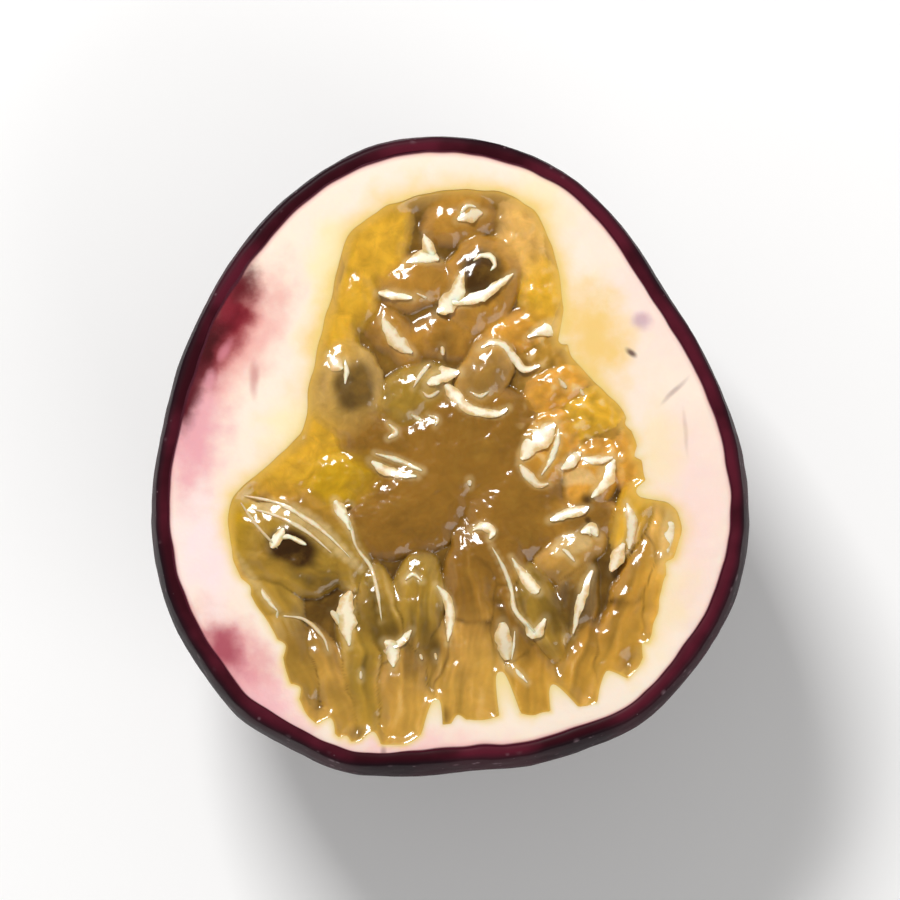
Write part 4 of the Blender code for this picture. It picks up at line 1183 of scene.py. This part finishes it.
def make_strands():
    mesh, strand, step, across, high = strand_spheres(len(SHREDS))
    paths = np.array([smooth_path(stops, STRAND_STEPS) for _, stops in SHREDS])
    ahead = np.gradient(paths[:, :, :2], axis=1)
    ahead /= np.linalg.norm(ahead, axis=2)[:, :, None]
    side = np.stack([-ahead[:, :, 1], ahead[:, :, 0]], axis=2)[strand, step]
    path = paths[strand, step]
    wide = (paths[:, :, 2].max(1) >= WIDE)[strand]
    taper = np.maximum(np.sin(np.linspace(0, math.pi, STRAND_STEPS)), 0) ** STRAND_TAPER
    half = path[:, 2] / 2 * taper[step] * np.where(wide, FACET_FULLNESS, 1)
    edge = np.column_stack([path[:, :2] + side * (across * half)[:, None], 0 * step]) * MM
    frayed = half * (1 + sum(much * waviness(edge, size, layer) for much, size, layer in STRAND_FRAYS))
    off_path = side * (across * frayed)[:, None]
    flat = path[:, :2] + off_path
    under = np.maximum(gel_level(kinds_of_pulp(flat[:, 0], flat[:, 1])), SPANS_BELOW)
    thread = under + THREAD_LIFT + high * np.minimum(THREAD_THICKNESS / 2, half)
    dimness = np.array([dim for dim, _ in SHREDS])[strand]
    facet = strand_level(under, strand, step) + FACET_LIFT
    facet -= GLINT_SLOPE * (1 - dimness) * (off_path @ GLINT_WAY)
    facet += np.where(high > 0, FACET_TOP * np.minimum(FACET_CROWN * high, 1), FACET_ROOT * high)
    points = np.column_stack([flat * MM, CUT + np.where(wide, facet, thread) * MM])
    piece = make_piece("pale_strands_and_glints", mesh, points, sharp=35)
    add_attribute(piece, "dimness", dimness)
    add_attribute(piece, "from_middle", np.abs(across))
    return piece


strands = make_strands()

# %% [markdown]
# Torn sac skin is a wet, milky film. Light comes through it, so it is cream where it lies double and
# takes the juice's gold where it thins out, towards its edges and in uneven patches between them. Its near
# white on the bright shreds is partly a painted highlight.

# %% Strand material
FILM_SIZE = 0.9 * MM


def strand_material():
    """Wet torn fibre: pale cream to brown, half clear at its edges, shiny with juice, and partly a painted
    highlight.
    """
    look, tree, shader = start_material("wet torn sac skin with painted glints")
    place = add_node(tree, "TexCoord", {}, {}).outputs["Object"]
    dim = add_node(tree, "Attribute", {"attribute_name": "dimness"}, {}).outputs["Fac"]
    side = add_node(tree, "Attribute", {"attribute_name": "from_middle"}, {}).outputs["Fac"]
    # near white on bright shreds, as a painted highlight, and tan on dim ones
    middle = add_node(tree, "Mix", RGBA, {0: dim, MIX_A: srgb("#FDEFD2"), MIX_B: srgb("#B8975E")})
    film = add_node(tree, "TexNoise", {}, {"Vector": place, "Scale": 1 / FILM_SIZE, "Detail": 4.0})
    uneven = add_node(tree, "Math", MULTIPLY_ADD, {0: side, 1: 0.45, 2: film})
    thin = add_node(tree, "MapRange", SOFT,
                    {"Value": uneven, "From Min": 0.56, "From Max": 0.98, "To Max": 0.85})
    colour = add_node(tree, "Mix", RGBA, {0: thin, MIX_A: middle, MIX_B: srgb("#D6AC62")})
    feed(tree, shader, {"Base Color": colour, "Roughness": 0.25, "Subsurface Weight": 0.3,
                        "Subsurface Scale": 0.5 * MM, "Coat Weight": 0.8, "Coat Roughness": 0.05})
    return look


dress(strands, strand_material())

# %% [markdown]
# ## Floor
# A white sweep of paper, as in a product photo. It is stage, so it isn't part of the fruit. It could be a
# curved sheet, but from above one large flat square looks the same.

# %% Floor
FLOOR_HALF_SIDE = 1.5  # in metres


def make_floor():
    bm = bmesh.new()
    bmesh.ops.create_grid(bm, x_segments=1, y_segments=1, size=FLOOR_HALF_SIDE)
    mesh = to_mesh(bm, "floor")
    look, tree, shader = start_material("white paper sweep")
    feed(tree, shader, {"Base Color": srgb("#FBFAF9"), "Roughness": 0.7})
    mesh.materials.append(look)
    add_object("floor", mesh)


make_floor()
print("floor is", 2 * FLOOR_HALF_SIDE, "m wide")

# %% [markdown]
# ## Light
# The key lamp stands behind and to the left, so that each wet lump catches it on its far side. A large
# weak fill opens the shadows. Wet things mirror all that is round them, and right above the fruit that
# is a dark camera and not a bright wall, so the pale room gets dark overhead.

# %% Light
TARGET = Vector((0, 0, CUT))
# Azimuth from +X in degrees, elevation, distance, side lengths, watts
LAMPS = {
    "key": (118, 48, 0.60, (0.20, 0.15), 3.0),
    "fill": (-50, 35, 0.80, (0.60, 0.40), 1.6),
}
ROOM_LIGHT, CEILING_LIGHT = 0.55, 0.12
CEILING_FROM, CEILING_TO = 0.6, 0.92  # heights on a sphere round the fruit, between 0 and 1


def aim(aimed, azimuth, elevation, distance):
    """Puts an object this far from the fruit in this direction, and turns it towards the cut face."""
    a, e = math.radians(azimuth), math.radians(elevation)
    away = Vector((math.cos(a) * math.cos(e), math.sin(a) * math.cos(e), math.sin(e)))
    place = TARGET + away * distance
    aimed.location = place
    aimed.rotation_euler = (TARGET - place).to_track_quat("-Z", "Y").to_euler()


for name, (azimuth, elevation, distance, (wide, high), watts) in LAMPS.items():
    light = bpy.data.lights.new(name, "AREA")
    light.shape = "RECTANGLE"
    light.size, light.size_y = wide, high
    light.energy = watts
    aim(add_object(name, light), azimuth, elevation, distance)

world = bpy.data.worlds.new("soft room")
world.use_nodes = True
sky = world.node_tree
way = add_node(sky, "SeparateXYZ", {}, {0: add_node(sky, "TexCoord", {}, {}).outputs["Generated"]})
ceiling = add_node(sky, "MapRange", SOFT,
                   {"Value": way.outputs["Z"], "From Min": CEILING_FROM, "From Max": CEILING_TO,
                    "To Min": ROOM_LIGHT, "To Max": CEILING_LIGHT})
feed(sky, sky.nodes["Background"], {"Strength": ceiling, "Color": srgb("#FFFFFF")})
bpy.context.scene.world = world
bpy.context.scene.view_settings.view_transform = "Standard"
print("lamps:", ", ".join(LAMPS))

# %% [markdown]
# ## Camera
# In the photo the half stands on its edge and faces the lens. Here it lies on its back, so the camera
# looks down on it, a few degrees off the vertical. It stands well away, as a long lens does, so that the
# near side of the fruit isn't drawn larger than the far side.

# %% Camera
CAMERA_ELEVATION = 84
CAMERA_DISTANCE = 0.60
FIELD = 78 * MM  # width of the view at the cut face

camera_data = bpy.data.cameras.new("camera")
camera_data.lens = camera_data.sensor_width * CAMERA_DISTANCE / FIELD
camera = add_object("camera", camera_data)
aim(camera, -90, CAMERA_ELEVATION, CAMERA_DISTANCE)
bpy.context.scene.camera = camera
print("lens of", round(camera_data.lens), "mm")
